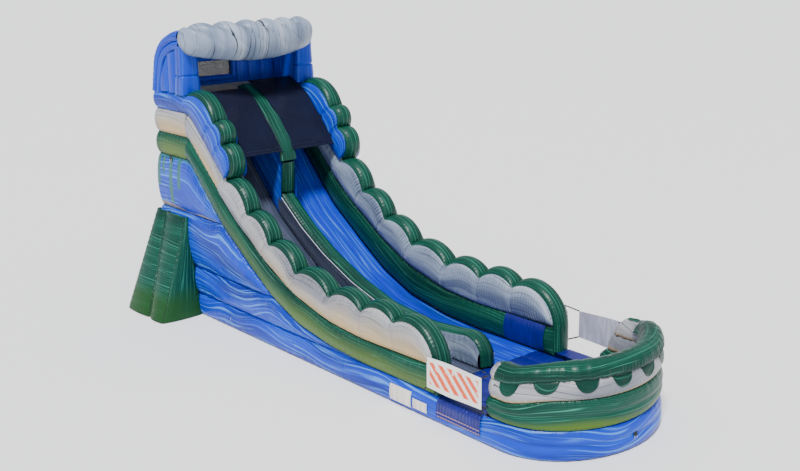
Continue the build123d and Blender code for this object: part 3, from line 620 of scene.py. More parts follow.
def wall(side, name):
    """One scalloped side wall: its bands and its cap, inside and outside."""
    edge = SEAM - CAP_OVERHANG * along_normal(SEAM)[:, 1:]
    outside = {band: Skin() for band in ("green", "grey", "blue")}
    inside = {band: Skin() for band in ("green", "grey", "blue")}
    cap = Skin()
    for skins, foot_x, top_x, facing, sink in (
            (outside, side * SEAM_X, side * CAP_OUT, side, 0.0),
            (inside, side * SEAM_IN, side * CAP_IN, -side, -LANE_SINK)):
        out = (facing, 0, 0)
        grey_line = resample(below(SOFT_GREY, TOWER_FRONT), 520)
        ramp_line = nearest_along(grey_line, below(SOFT_RAMP, TOWER_FRONT + 0.2))
        ramp_line[:, 1] += sink
        skins["green"].panel(lift(ramp_line, foot_x), lift(grey_line, foot_x), out,
                             depth=0.10 * closing(grey_line), rows=27, seed=side + facing,
                             pitch=0.16, pucker=0.010)

        low_seam = edge[UPPER_END:]
        low_seam = low_seam[: int(np.argmax(low_seam[:, 1] < 0.985)) + 1]
        feet = nearest_along(low_seam, SOFT_GREY)
        creases = [(column - UPPER_END, 0.85, 0.05) for column in SEAM_VALLEYS
                   if UPPER_END < column < UPPER_END + len(low_seam)]
        skins["grey"].panel(lift(feet, foot_x), lift(low_seam, top_x), out,
                            depth=0.115 * closing(low_seam, 0.3), rows=36, creases=creases,
                            pucker=0.028, pitch=0.065, seed=side * 2 + facing, reach=0.14)

        blue_line = resample(below(SOFT_BLUE, TOWER_FRONT), 200)
        feet = nearest_along(blue_line, SOFT_GREY)
        skins["grey"].panel(lift(feet, foot_x), lift(blue_line, foot_x), out, depth=0.08,
                            rows=22, seed=side * 3 + facing, pitch=0.15)

        high_seam = edge[:UPPER_END + 1]
        feet = nearest_along(high_seam, SOFT_BLUE)
        creases = [(column, 0.75, 0.05) for column in SEAM_VALLEYS[1:3]]
        skins["blue"].panel(lift(feet, foot_x), lift(high_seam, top_x), out, depth=0.10,
                            rows=26, creases=creases, pucker=0.014, pitch=0.07,
                            seed=side * 4 + facing)

    normal = along_normal(SEAM)
    stops = [*SEAM_VALLEYS, len(SEAM) - 1]
    for start, end in zip(stops, stops[1:]):
        along = np.linspace(0, 1, end - start + 1)
        if end == stops[-1]:
            along = np.minimum(along * 2, 0.5)
        full = 0.26 + 0.74 * np.clip(np.sin(math.pi * along), 0, 1) ** 0.45
        piece = slice(start, end + 1)
        cap.panel(lift(edge[piece], side * CAP_OUT), lift(edge[piece], side * CAP_IN),
                  normal[piece], depth=(CAP_OVERHANG + 0.066) * full, rows=31,
                  fullness=0.52, pucker=0.006, pitch=0.06, seed=side + start,
                  reach=0.04)

    for band, low, high in (("green", PLATFORM, GREEN_TOP), ("grey", GREEN_TOP, GREY_TOP),
                            ("blue", GREY_TOP, BLUE_TOP)):
        low_line, out = tower_wrap(side, SEAM_X, low)
        high_line, _ = tower_wrap(side, SEAM_X, high)
        outside[band].panel(low_line, high_line, out, depth=0.085, rows=21,
                            seed=low + side, pitch=0.14)
        inner = np.array([(side * SEAM_IN, y) for y in np.linspace(BACK_WALL, TOWER_FRONT, 50)])
        inside[band].panel(np.column_stack([inner, np.full(50, low)]),
                           np.column_stack([inner, np.full(50, high)]), (-side, 0, 0),
                           depth=0.05, rows=17, seed=low - side)
    for place, skins, paints in (("outside", outside, (green_band, grey_band, blue_side)),
                                 ("inside", inside, (green_inside, grey_inside, blue_side))):
        for band, paint in zip(("green", "grey", "blue"), paints):
            skins[band].build(f"{band}_{place}_{name}", paint, [f"wall_{name}_{band}_band"],
                              f"{band}_vinyl")
    cap.build(f"cap_{name}", green_cap, [f"wall_{name}_cap"], "green_vinyl")


# ---- ground outline, base tube and side bodies ---------------------------------------------
def with_normals(plan, count):
    """A closed counter-clockwise outline of count points, first and last the same."""
    plan = resample(plan, count)
    along = np.roll(plan[:-1], -1, axis=0) - np.roll(plan[:-1], 1, axis=0)
    out = np.column_stack([along[:, 1], -along[:, 0]])
    out /= np.linalg.norm(out, axis=1)[:, None]
    return plan, np.concatenate([out, out[:1]])


def ground_outline(inset, count=1000):
    """The slide's outline on the ground, from the middle of the tower's back."""
    side, back = HALF - inset, TOWER_BACK - inset
    turn = np.radians(np.linspace(90, 180, 10))
    corner = np.stack([-side + CORNER + CORNER * np.cos(turn),
                       back - CORNER + CORNER * np.sin(turn)], axis=1)
    turn = np.radians(np.linspace(180, 360, 120))
    front = np.stack([side * np.cos(turn),
                      POOL_CENTRE + (POOL_DEPTH - inset) * np.sin(turn)], axis=1)
    far_corner = corner[::-1] * (-1, 1)
    plan = np.concatenate([[(0, back)], corner, front, far_corner, [(0, back)]])
    return with_normals(plan, count)


def level(plan, z):
    """A plan at one height, or at a height for each point."""
    return np.column_stack([plan, np.broadcast_to(z, len(plan))])


def smooth_step(values, start, end):
    """0 at start, 1 at end, smooth between."""
    share = np.clip((values - start) / (end - start), 0, 1)
    return share * share * (3 - 2 * share)


BASE_PUFF = 0.075
FOOT_INSET, FOOT_Z = 0.045, 0.012  # the base tube's seam on the ground
BASE_SEAMS = (3.08, 0.79, -0.80)  # its upright seams down each side


def base_tube():
    """The tube round the whole foot, and its face towards the pool."""
    skin = Skin()
    foot, out = ground_outline(FOOT_INSET)
    rim, _ = ground_outline(PUFF)
    at_pool = smooth_step(rim[:, 1], POOL_START + 0.3, POOL_CENTRE)
    top = BASE_TOP + (POOL_BASE_TOP - BASE_TOP) * at_pool
    seams = [int(np.argmin(np.abs(foot[:, 1] - y) + np.abs(foot[:, 0] - side * 1.6)))
             for side in (-1, 1) for y in BASE_SEAMS]
    skin.panel(level(foot, FOOT_Z), level(rim, top), level(out, 0.0), depth=BASE_PUFF, rows=27,
               fullness=0.6, groove=0.45 * at_pool, pitch=0.22, pucker=0.006,
               creases=[(column, 0.22, 0.012) for column in seams])
    inner, inner_out = pool_floor_outline(0.0)
    skin.panel(level(inner, 0.01), level(inner, POOL_BASE_TOP), level(inner_out, 0.0),
               depth=0.04, rows=13)
    skin.build("base", blue_base, ["base_tube"], "blue_vinyl")


def side_path(line_z, side, y_front):
    """A level seam line down one side, from the tower's back to y_front."""
    line, out = tower_wrap(side, SEAM_X, line_z, end_y=TOWER_FRONT)
    count = max(20, int((TOWER_FRONT - y_front) / 0.03))
    more = np.array([(side * SEAM_X, y, line_z)
                     for y in np.linspace(TOWER_FRONT, y_front, count)[1:]])
    return np.concatenate([line, more]), np.concatenate(
        [out, np.tile([(side, 0.0, 0.0)], (len(more), 1))])


def ramp_height(y):
    """Height of the ramp under the side walls at each y."""
    line = SOFT_RAMP[::-1]
    return np.interp(y, line[:, 0], line[:, 1])


def side_panel(side, low, high, depth, pucker=0.016, pitch=0.3):
    """One level of the tower's side, cut off in front by the ramp."""
    skin = Skin()
    front = SOFT_RAMP[SOFT_RAMP[:, 1] > low + 0.004][-1][0]
    low_line, out = side_path(low, side, front)
    high_line = low_line.copy()
    high_line[:, 2] = np.minimum(high, ramp_height(low_line[:, 1]))
    height = np.maximum(high_line[:, 2] - low, 0.0)
    depths = depth * np.clip(height / 0.5, 0.0, 1.0) ** 0.6
    skin.panel(low_line, high_line, out, depth=depths, rows=35, fullness=0.55,
               seed=low + side, pitch=pitch, pucker=pucker, reach=0.13)
    return skin


def side_bodies(side, name):
    """The blue panels under the ramp, level by level, with the drip band on top."""
    lower = side_panel(side, BASE_TOP, FOOT_TOP, 0.115)
    middle = side_panel(side, FOOT_TOP, MIDDLE_TOP, 0.145)
    for skin, part in ((lower, "lower"), (middle, "middle")):
        skin.build(f"{part}_side_{name}", blue_side, [f"side_body_{name}"], "blue_vinyl")
    side_panel(side, MIDDLE_TOP, PLATFORM, 0.105, pitch=0.25).build(
        f"drip_band_skin_{name}", blue_drip, [f"drip_band_{name}"], "blue_vinyl")


BACK_SEAMS = [-1.31, -0.42, 0.42, 1.31]


def tower_back():
    """The tower's back between its two rear corners, in three columns."""
    seam_y = TOWER_BACK - PUFF
    bands = ((BASE_TOP, FOOT_TOP, "core_low", blue_side, "core"),
             (FOOT_TOP, MIDDLE_TOP, "core_middle", blue_side, "core"),
             (MIDDLE_TOP, PLATFORM, "core_high", blue_side, "core"),
             (PLATFORM, GREEN_TOP, "back_green", green_band, "tower_back_green_band"),
             (GREEN_TOP, GREY_TOP, "back_grey", grey_band, "tower_back_grey_band"),
             (GREY_TOP, BLUE_TOP, "back_blue", blue_side, "tower_back_blue_band"))
    for low, high, name, material, node in bands:
        skin = Skin()
        for left, right in zip(BACK_SEAMS, BACK_SEAMS[1:]):
            x = np.linspace(left, right, 36)
            share = np.linspace(0, 1, 36)
            depth = 0.085 * (0.25 + 0.75 * np.sin(math.pi * share) ** 0.35)
            place = np.column_stack([x, np.full(36, seam_y)])
            skin.panel(level(place, low), level(place, high), (0, 1, 0), depth=depth, rows=25,
                       seed=low + left, pitch=0.2)
        slot = {"green": "green_vinyl", "grey": "grey_vinyl"}.get(name[5:], "blue_vinyl")
        skin.build(name, material, [node], slot)
        if node != "core":
            skin = Skin()
            inner = np.column_stack([np.linspace(-WALL_IN, WALL_IN, 80),
                                     np.full(80, BACK_WALL + 0.04)])
            skin.panel(level(inner, max(low, FLOOR)), level(inner, high), (0, -1, 0),
                       depth=0.05, rows=17, seed=high)
            # Inside the back wall, the grey takes the lighter, tan-tinted grey_band rather than
            # the shaded grey. This is painted light on a face that lies in shade.
            paint = green_inside if name == "back_green" else grey_band
            skin.build(f"{name}_inside", paint, [node], slot)


# ---- lanes and divider ---------------------------------------------------------------------
LANE = soften([(y, z - LANE_SINK) for y, z in RAMP[1:]])
LANDING = -2.88  # where the lanes end and the level landing starts
LANDING_Z = BASE_TOP - LANE_SINK


def bays(skin, line, edges, out, seeded=True, **shape):
    """Puffed strips along a side-view line, one between each two neighbouring edges."""
    for low, high in zip(edges, edges[1:]):
        skin.panel(lift(line, low), lift(line, high), out, seed=low if seeded else 0.0,
                   **shape)


def lanes():
    """The two lanes, the landing before the pool, and the platform's floor."""
    line = LANE[(LANE[:, 0] <= TOWER_FRONT - 0.02) & (LANE[:, 0] >= LANDING)]
    line = resample(line, 420)
    # The climbing lane is painted in the dark shadow colour, and the slide lane in its blue.
    for name, left, right, material in (("slide", DIVIDER - 0.02, WALL_IN, blue_lane),
                                        ("climb", -WALL_IN, 0.02 - DIVIDER, lane_shadow)):
        skin = Skin()
        bays(skin, line, np.linspace(left, right, 4), along_normal(line), depth=0.022,
             rows=15, pucker=0.003, pitch=0.19, fullness=0.7)
        skin.build(f"{name}_lane", material, [f"{name}_deck"], "blue_vinyl")

    skin = Skin()
    edges = np.linspace(-WALL_IN, WALL_IN, 7)
    line = resample([(LANDING, LANDING_Z), (LANE_END, LANDING_Z)], 80)
    bays(skin, line, edges, (0, 0, 1), depth=0.022, rows=13, pucker=0.003, pitch=0.19)
    front = np.column_stack([np.linspace(-WALL_IN, WALL_IN, 120), np.full(120, LANE_END)])
    skin.panel(level(front, 0.01), level(front, LANDING_Z), (0, -1, 0), depth=0.05, rows=15)
    skin.build("landing", deep_blue, ["landing_deck"], "deep_blue_vinyl")

    skin = Skin()
    line = resample([(BACK_WALL, FLOOR), (TOWER_FRONT - 0.05, FLOOR)], 60)
    bays(skin, line, edges, (0, 0, 1), seeded=False, depth=0.02, rows=13)
    skin.build("platform_floor", blue_lane, ["platform_deck"], "blue_vinyl")


STEP_X = -(DIVIDER + WALL_IN) / 2 - 0.07  # a little outside the climbing lane's middle
STEP_COUNT = 13
STEP_FIRST, STEP_LAST = -0.30, 4.25
STEP_WIDTH, STEP_DEPTH, STEP_HEIGHT = 0.52, 0.13, 0.10


def climb_steps():
    """Pillow-ended bolsters across the climbing lane."""
    skin = Skin()
    for y in np.linspace(STEP_FIRST, STEP_LAST, STEP_COUNT):
        foot = np.interp(y, LANE[::-1, 0], LANE[::-1, 1])
        share = np.linspace(-1, 1, 40)
        swell = (1 - np.abs(share) ** 6) ** 0.5
        turn = np.linspace(0, math.pi, 17)
        x = STEP_X + share[:, None] * STEP_WIDTH / 2 * np.ones(17)
        across = y - swell[:, None] * np.cos(turn) * STEP_DEPTH / 2
        ripple = 1 + 0.05 * wave(share * STEP_WIDTH, 0.06, y)[:, None]
        height = foot + 0.01 + swell[:, None] * np.sin(turn) ** 0.8 * STEP_HEIGHT * ripple
        skin.grid(np.stack([x, across, height], axis=-1), (0, 0, 1))
    # The bolsters are painted in the dark shadow colour of the climbing lane.
    skin.build("climb_bolsters", side_shadow, ["climb_steps"], "green_vinyl")


UPPER_TOP = [(4.70, 4.75), (4.142, 4.50), (3.733, 4.165), (3.36, 3.76), (3.20, 3.53),
             (3.165, 3.33)]
END_TOP = [(3.185, 3.30), (3.20, 3.0), (3.235, 2.66)]
LOWER_TOP = [(3.30, 2.60), (2.53, 2.02), (1.788, 1.59), (0.87, 1.20), (-0.111, 0.92),
             (-1.30, 0.82), (-2.15, 0.90)]
LOWER_NOSE = [(-2.45, 0.95), (-2.66, 0.88), (-2.79, 0.70), (-2.80, 0.44)]
CAP_RISE = 0.07
UPPER_CAP, UPPER_SIDE, LOWER_HALF = 0.21, 0.17, 0.165  # half widths
# Painted shade: behind this y the lower divider's sides take the dark shadow colour, and in
# front, near the lit nose, the lighter shaded grey.
SHADOW_END = -0.9  # the divider's sides are dark behind this, and pale in front


def divider_cap(skin, curve, half_width, seed):
    """The rounded top of a divider chamber, over both lanes' edges."""
    skin.panel(lift(curve, -half_width), lift(curve, half_width), along_normal(curve),
               depth=CAP_RISE, rows=25, fullness=0.6, pucker=0.005, pitch=0.08, seed=seed,
               reach=0.04)


def divider_side(skin, curve, half_width, side, depth):
    """The face between the lane and a cap's seam."""
    foot = np.column_stack([curve[:, 0], np.interp(curve[:, 0], LANE[::-1, 0],
                                                   LANE[::-1, 1])])
    skin.panel(lift(foot, side * half_width), lift(curve, side * half_width), (side, 0, 0),
               depth=depth, rows=21, pucker=0.012, pitch=0.14, seed=side, reach=0.09)


def divider():
    """The upper and lower chamber between the lanes, their caps, and a thin pale tube on the
    lower cap's left seam, a painted highlight.
    """
    upper = soften(UPPER_TOP, 0.06)
    end = soften(END_TOP, 0.05)
    lower = soften(LOWER_TOP + LOWER_NOSE, 0.07)

    skin = Skin()
    divider_cap(skin, resample(upper, 130), UPPER_CAP, 1.0)
    divider_cap(skin, resample(end, 50), LOWER_HALF, 2.0)
    skin.build("divider_upper_cap_skin", green_cap, ["divider_upper_cap"], "green_vinyl")

    skin = Skin()
    for side in (-1, 1):
        body = resample(upper[:int(len(upper) * 0.93)], 90)
        divider_side(skin, body, UPPER_SIDE, side, 0.03)
        front = resample(end, 30)
        back = front + (0.35, 0.0)
        skin.panel(lift(back, side * 0.15), lift(front, side * 0.15), (side, 0, 0),
                   depth=0.02, rows=9)
    skin.build("divider_upper_body", blue_side, ["divider_upper"], "blue_vinyl")

    skin = Skin()
    divider_cap(skin, resample(lower, 420), LOWER_HALF, 3.0)
    skin.build("divider_lower_cap_skin", green_cap, ["divider_lower_cap"], "green_vinyl")

    # Painted shade: the dark shadow colour on the sides' back part, and the shaded grey on
    # their front part.
    for name, paint, back, front in (("back", side_shadow, 9.0, SHADOW_END),
                                     ("front", grey_inside, SHADOW_END, -2.775)):
        skin = Skin()
        part = lower[(lower[:, 0] < back) & (lower[:, 0] > front)]
        for side in (-1, 1):
            divider_side(skin, resample(part, 200), LOWER_HALF, side, 0.05)
        skin.build(f"divider_lower_{name}", paint, ["divider_lower"], "grey_vinyl")

    # Painted highlight: a pale lilac tube along the back part of the lower cap's left seam
    # stands for the highlights on its puckers.
    seam = resample(lower[lower[:, 0] > SHADOW_END - 0.4], 260)
    turn = np.linspace(0, 2 * math.pi, 9)
    centre = lift(seam, -0.185)
    round_x, round_up = 0.009 * np.cos(turn), 0.009 * np.sin(turn)
    points = centre[:, None] + round_x[None, :, None] * np.array([1.0, 0, 0]) + round_up[
        None, :, None] * along_normal(seam)[:, None]
    sheet_piece("divider_seam_highlight", points, (-1, 0, 0), lilac_vinyl, ["divider_lower"],
                "white_vinyl")


# ---- nets ----------------------------------------------------------------------------------
HEM = 0.13


def nets():
    """Two mesh sheets over the lanes' tops, each with a stitched hem along its foot."""
    for name, left, right, head, length in (
            ("climb", -1.26, -0.17, (4.44, 4.76), 1.82),
            ("slide", 0.11, 1.26, (4.80, 4.86), 2.18)):
        curve = resample(soften([*NET[:-1], head], 0.08)[::-1], 70)
        x = np.linspace(left, right, 40)
        share_u, share_v = np.linspace(0, 1, 70), np.linspace(0, 1, 40)
        sag = 0.030 * np.sin(math.pi * share_u)[:, None] * np.sin(math.pi * share_v)
        flutter = 0.006 * wave(share_u * 1.9, 0.42, left)[:, None] * np.sin(
            math.pi * share_v)
        out = along_normal(curve[::-1])[::-1]
        points = np.stack([np.tile(x, (70, 1)), np.tile(curve[:, :1], 40),
                           np.tile(curve[:, 1:], 40)], axis=-1)
        points = points - out[:, None] * (sag + flutter)[..., None]
        net = sheet_piece(f"net_{name}", points, (0, -0.7, 0.7), navy_mesh,
                          [f"net_{name}_lane"], "mesh")
        rows = int(round(HEM / 1.85 * 70)) + 1
        strip = points[-rows:] + out[-rows:, None] * 0.006
        hem = sheet_piece(f"net_hem_{name}", strip.transpose(1, 0, 2), (0, -0.7, 0.7),
                          hem_webbing, [f"net_{name}_lane"], "mesh")


# ---- hood ----------------------------------------------------------------------------------
# Side views of the hood's outer and inner face; its window as x from and to, z from and to.
HOOD_OUTER = [(TOWER_BACK, BLUE_TOP), (5.80, 5.10), (5.715, 5.463), (5.56, 5.70), (5.37, 5.86),
              (4.952, 6.03), (4.62, 6.07)]
HOOD_INNER = [(5.47, BLUE_TOP), (5.47, 5.35), (5.36, 5.55), (5.10, 5.68), (4.75, 5.74)]
WINDOW = (-0.90, 0.265, 4.83, 5.40)
FRAME = 0.066  # radius of the tubes round the window
WALL_TOP = 5.47  # where the hood's back wall turns into its roof
HOOD_BACK_X, HOOD_SIDE_X = 1.64, 1.625  # half widths at its corner seams


def ribs(skin, lines, out, depth, rows=19, seed=0.0):
    """Tubes side by side: a puffed panel between each two neighbouring lines."""
    for index, (low, high) in enumerate(zip(lines, lines[1:])):
        skin.panel(low, high, out, depth=depth, rows=rows, fullness=0.62, pucker=0.006,
                   pitch=0.12, seed=seed + index)


def hood_back():
    """The hood's roof and its back wall with the window's opening, outside and inside."""
    outer = resample(soften(HOOD_OUTER, 0.08), 110)
    inset = outer - 0.05 * along_normal(outer)[:, 1:]
    inner = resample(soften(HOOD_INNER, 0.06), 90)
    left, right, low, high = WINDOW

    skin = Skin()
    roof = inset[outer[:, 1] >= WALL_TOP - 0.02]
    seams = np.linspace(-HOOD_BACK_X, HOOD_BACK_X, 10)
    ribs(skin, [lift(roof, x) for x in seams], along_normal(roof), 0.055)
    ceiling = inner[inner[:, 1] > 5.30]
    lines = [lift(ceiling, x) for x in np.linspace(-WALL_IN, WALL_IN, 8)]
    ribs(skin, lines, -along_normal(ceiling), 0.04)
    skin.build("hood_roof_skin", blue_hood, ["hood_roof"], "blue_vinyl")

    skin = Skin()
    back = resample(inset[outer[:, 1] <= WALL_TOP + 0.03], 50)
    ribs(skin, [lift(back, x) for x in np.linspace(-HOOD_BACK_X, left, 3)],
         along_normal(back), 0.05)
    ribs(skin, [lift(back, x) for x in np.linspace(right, HOOD_BACK_X, 5)],
         along_normal(back), 0.05, seed=3)
    for foot, head in ((4.76, low), (high, WALL_TOP)):
        part = resample(back[(back[:, 1] > foot - 0.03) & (back[:, 1] < head + 0.03)], 12)
        ribs(skin, [lift(part, x) for x in np.linspace(left, right, 5)], along_normal(part),
             0.03, seed=6)
    face = resample([(BACK_WALL + 0.03, BLUE_TOP), (BACK_WALL + 0.03, 5.40)], 40)
    toward = (0, -1, 0)
    ribs(skin, [lift(face, x) for x in np.linspace(-WALL_IN, left, 3)], toward, 0.035)
    ribs(skin, [lift(face, x) for x in np.linspace(right, WALL_IN, 4)], toward, 0.035, seed=2)
    for foot, head in ((BLUE_TOP, low), (high, 5.45)):
        part = resample([(BACK_WALL + 0.03, foot), (BACK_WALL + 0.03, head)], 8)
        ribs(skin, [lift(part, x) for x in np.linspace(left, right, 5)], toward, 0.02)
    corners = [(left, low), (right, low), (right, high), (left, high), (left, low)]
    for (x1, z1), (x2, z2) in zip(corners, corners[1:]):
        x, z = np.linspace(x1, x2, 20), np.linspace(z1, z2, 20)
        near = np.column_stack([x, np.full(20, BACK_WALL), z])
        far = np.column_stack([x, np.full(20, BACK_WALL + 0.34), z])
        middle = np.array([(left + right) / 2 - (x1 + x2) / 2, 0,
                           (low + high) / 2 - (z1 + z2) / 2])
        skin.panel(near, far, middle / np.linalg.norm(middle), depth=0.02, rows=9)
    skin.build("hood_wall_skin", blue_hood, ["hood_back_wall"], "blue_vinyl")


def window():
    """The tubes round the hood's window, and its mesh."""
    left, right, low, high = WINDOW
    skin = Skin()
    turn = np.linspace(0, 2 * math.pi, 17)
    inside = FRAME * 0.9
    rounds = [(left + inside, low + inside), (right - inside, low + inside),
              (right - inside, high - inside), (left + inside, high - inside)]
    for (x1, z1), (x2, z2) in zip(rounds, rounds[1:] + rounds[:1]):
        along = np.array([x2 - x1, 0, z2 - z1])
        length = np.linalg.norm(along)
        along /= length
        side = np.cross(along, (0, 1, 0))
        share = np.linspace(-0.03, 1.03, 40)
        centre = np.array([x1, BACK_WALL + 0.055, z1]) + share[:, None] * along * length
        radius = FRAME * (1 + 0.03 * wave(share * length, 0.19, x1))
        ring = np.cos(turn)[:, None] * side + np.sin(turn)[:, None] * np.array([0, 1, 0])
        skin.grid(centre[:, None] + radius[:, None, None] * ring[None], side)
    skin.build("window_tubes", blue_hood, ["window_frame"], "blue_vinyl")

    x, z = np.linspace(left, right, 50), np.linspace(low, high, 30)
    grid_x, grid_z = np.meshgrid(x, z, indexing="ij")
    bulge = 0.015 * np.sin(math.pi * (grid_x - left) / (right - left)) * np.sin(
        math.pi * (grid_z - low) / (high - low))
    points = np.stack([grid_x, BACK_WALL + 0.15 + bulge, grid_z], axis=-1)
    screen = sheet_piece("window_screen", points, (0, -1, 0), grey_mesh, ["window_mesh"],
                         "mesh")


ARCH = 0.36  # width of the tubes that follow the hood's edge
PILLAR_X, PILLAR_Y, PILLAR_SEAM = 1.4725, 4.62, 5.13


def hood_sides():
    """Outer arch of tubes, upright tubes inside it on a flat sheet, and the pillar."""
    outer = resample(soften(HOOD_OUTER, 0.08), 100)
    normal = along_normal(outer)[:, 1:]
    for side, name in ((-1, "left"), (1, "right")):
        skin = Skin()
        steps = (0.045, 0.045 + ARCH / 2, 0.045 + ARCH)
        lines = [lift(outer - step * normal, side * HOOD_SIDE_X) for step in steps]
        ribs(skin, lines, (side, 0, 0), 0.06)
        arch = outer - steps[-1] * normal
        low_places = np.linspace(arch[0, 0], 4.76, 3)
        ends = [np.interp(y, arch[::-1, 0], arch[::-1, 1]) for y in low_places]
        ends[0] = 4.80
        lines = []
        for y, top in zip(low_places, ends):
            lines.append(np.column_stack([np.full(50, side * HOOD_SIDE_X), np.full(50, y),
                                          np.linspace(BLUE_TOP, top, 50)]))
        ribs(skin, lines, (side, 0, 0), 0.06, seed=4)
        y = np.linspace(5.80, 4.64, 40)
        top = np.interp(y, outer[::-1, 0], outer[::-1, 1]) - 0.06
        z = BLUE_TOP + np.linspace(0, 1, 12) * (top[:, None] - BLUE_TOP)
        backing = np.stack([np.full(z.shape, side * (HOOD_SIDE_X - 0.013)),
                            np.tile(y[:, None], 12), z], axis=-1)
        skin.grid(backing, (side, 0, 0))
        inner = [lift(resample([(y, 4.70), (y, 5.70)], 40), side * (WALL_IN + 0.03))
                 for y in np.linspace(5.50, 4.76, 3)]
        ribs(skin, inner, (-side, 0, 0), 0.035)
        skin.build(f"hood_side_skin_{name}", blue_hood, [f"hood_side_{name}"], "blue_vinyl")

        z = np.concatenate([np.linspace(4.74, PILLAR_SEAM, 30),
                            np.linspace(PILLAR_SEAM, 5.75, 40)[1:]])
        crease = 1 - 0.14 * np.exp(-((z - PILLAR_SEAM) / 0.016) ** 2)
        turn = np.linspace(-math.pi, math.pi, 65)
        flare = 1 + 0.16 * smooth_step(z, 5.5, 4.75)
        x = np.sign(np.cos(turn)) * np.abs(np.cos(turn)) ** 0.5 * 0.205
        y = np.sign(np.sin(turn)) * np.abs(np.sin(turn)) ** 0.5 * 0.165
        bumps = 1 + 0.035 * np.cos(5 * turn + 1)
        scale = (crease * flare)[:, None] * bumps
        points = np.stack([side * PILLAR_X + x * scale, PILLAR_Y + y * scale,
                           np.tile(z[:, None], len(turn))], axis=-1)
        sheet_piece(f"pillar_skin_{name}", points, (side, 0, 0), blue_hood,
                    [f"pillar_{name}"], "blue_vinyl")


CROWN_LEFT, CROWN_RIGHT = -1.70, 1.54
CROWN_END = (4.44, 5.886, 0.30)  # y, z and radius at its two ends
CROWN_MIDDLE = (4.08, 5.80, 0.42)  # and in its middle
LOBE_PITCH = 0.486


def crown_roll():
    """The wave crest over the platform: lobes parted by slanted creases behind and on top."""
    count, turns = 480, 121
    share = np.linspace(-1, 1, count)
    places = CROWN_LEFT + (share + 1) / 2 * (CROWN_RIGHT - CROWN_LEFT)
    middle = 1 - share ** 2
    y, z, radius = (end + (mid - end) * middle for end, mid in zip(CROWN_END, CROWN_MIDDLE))
    radius = radius * (1 - np.clip((np.abs(share) - 0.85) / 0.15, 0, 1) ** 2.6) ** 0.5
    turn = np.linspace(0, 2 * math.pi, turns) - 0.45 * math.pi  # 0 at the front, up over
    over = np.exp(-((turn - 0.40 * math.pi) / 1.05) ** 2)
    depth = 0.02 + 0.32 * over
    slant = 0.42 * np.sin(np.clip(turn, -0.5, math.pi))
    phase = (places[:, None] - CROWN_LEFT + slant - 0.10) / LOBE_PITCH
    crease = np.abs(np.sin(math.pi * phase)) ** 0.55
    swell = 1 - depth * (1 - crease) + 0.05 * over * crease
    pucker = 1 + 0.018 * wave(places, 0.05, 2.0)[:, None] * (1 - crease) * over
    reach = radius[:, None] * swell * pucker
    points = np.stack([np.tile(places[:, None], turns),
                       y[:, None] - reach * np.cos(turn),
                       z[:, None] + reach * np.sin(turn)], axis=-1)
    sheet_piece("crown", points, (0, -1, 0), grey_crown, ["crown_roll"], "grey_vinyl",
                turned=True)


# ---- splash pool ---------------------------------------------------------------------------
ROLL = (HALF - WALL_IN) / 2
MID_SIDE, MID_DEPTH = HALF - ROLL, POOL_DEPTH - ROLL
POOL_STITCH = 1.36
POOL_CREST = 1.60
TONGUES = 8
TONGUE_REACH, TONGUE_WIDTH = 0.205, 0.64  # length, and width as a share of the pitch
POOL_COLUMNS = 620
END_CAP = 70  # columns of the pool wall's loop that make up one of its two ends


def pool_middle(count):
    """Middle line of the pool's wall, from its left end to its right end."""
    turn = np.radians(np.linspace(180, 360, 160))
    curve = np.stack([MID_SIDE * np.cos(turn), POOL_CENTRE + MID_DEPTH * np.sin(turn)],
                     axis=1)
    start, end = (-MID_SIDE, POOL_START - ROLL), (MID_SIDE, POOL_START - ROLL)
    return resample(np.concatenate([[start], curve, [end]]), count)


def pool_loop(inset, count=POOL_COLUMNS):
    """Outline of the pool's wall as a loop: plan, normals and the middle line beside it."""
    middle = pool_middle(count // 2)
    along = np.gradient(middle, axis=0)
    along /= np.linalg.norm(along, axis=1)[:, None]
    out = np.column_stack([along[:, 1], -along[:, 0]])
    turn = np.linspace(0, math.pi, 40)[1:-1]
    ends = []
    for point, normal, heading in ((middle[-1], out[-1], along[-1]),
                                   (middle[0], -out[0], -along[0])):
        facing = np.cos(turn)[:, None] * normal + np.sin(turn)[:, None] * heading
        ends.append((np.tile(point, (len(turn), 1)), facing))
    middles = np.concatenate([middle, ends[0][0], middle[::-1], ends[1][0], middle[:1]])
    normals = np.concatenate([out, ends[0][1], -out[::-1], ends[1][1], out[:1]])
    return middles + (ROLL - inset) * normals, normals, middles


def pool_floor_outline(inset):
    """The pool's inner outline, facing inwards."""
    turn = np.radians(np.linspace(180, 360, 120))
    side, depth = WALL_IN - inset, POOL_DEPTH - 2 * ROLL - inset
    curve = np.stack([side * np.cos(turn), POOL_CENTRE + depth * np.sin(turn)], axis=1)
    plan = resample(np.concatenate([[(-side, LANE_END)], curve, [(side, LANE_END)]]), 200)
    along = np.gradient(plan, axis=0)
    out = np.column_stack([-along[:, 1], along[:, 0]])
    return plan, out / np.linalg.norm(out, axis=1)[:, None]


GREY_PUFF = 0.075
POOL_SWELL = 0.06  # how much taller the roll is at its right end
POOL_DROOP = 0.16  # how far the wall's top hangs at its two ends
POOL_LEAN = {  # and how far it leans there to the back, at three heights
    "left": [(0.5, 0.0), (0.8, 0.02), (1.6, -0.10)],
    "right": [(0.5, 0.04), (0.8, 0.15), (1.6, -0.27)]}


def pool_slump(points):
    """Lowers and leans the wall's two ends, and swells the roll at the right one."""
    y, z = points[:, 1].copy(), points[:, 2].copy()
    swell = POOL_SWELL * smooth_step(points[:, 0], 0.2, 1.3) * smooth_step(y, -5.9, -5.2)
    points[:, 2] += swell * np.clip((z - POOL_STITCH) / (POOL_CREST - POOL_STITCH), 0, 1)
    above = np.clip((z - POOL_BASE_TOP) / (POOL_GREEN_TOP - POOL_BASE_TOP), 0, 1)
    points[:, 2] -= POOL_DROOP * above * smooth_step(y, -5.65, -4.75)
    left, right = (np.interp(z, *np.transpose(POOL_LEAN[side])) for side in ("left", "right"))
    lean = np.where(points[:, 0] < 0, left, right)
    points[:, 1] += lean * smooth_step(y, -5.3, -4.5)


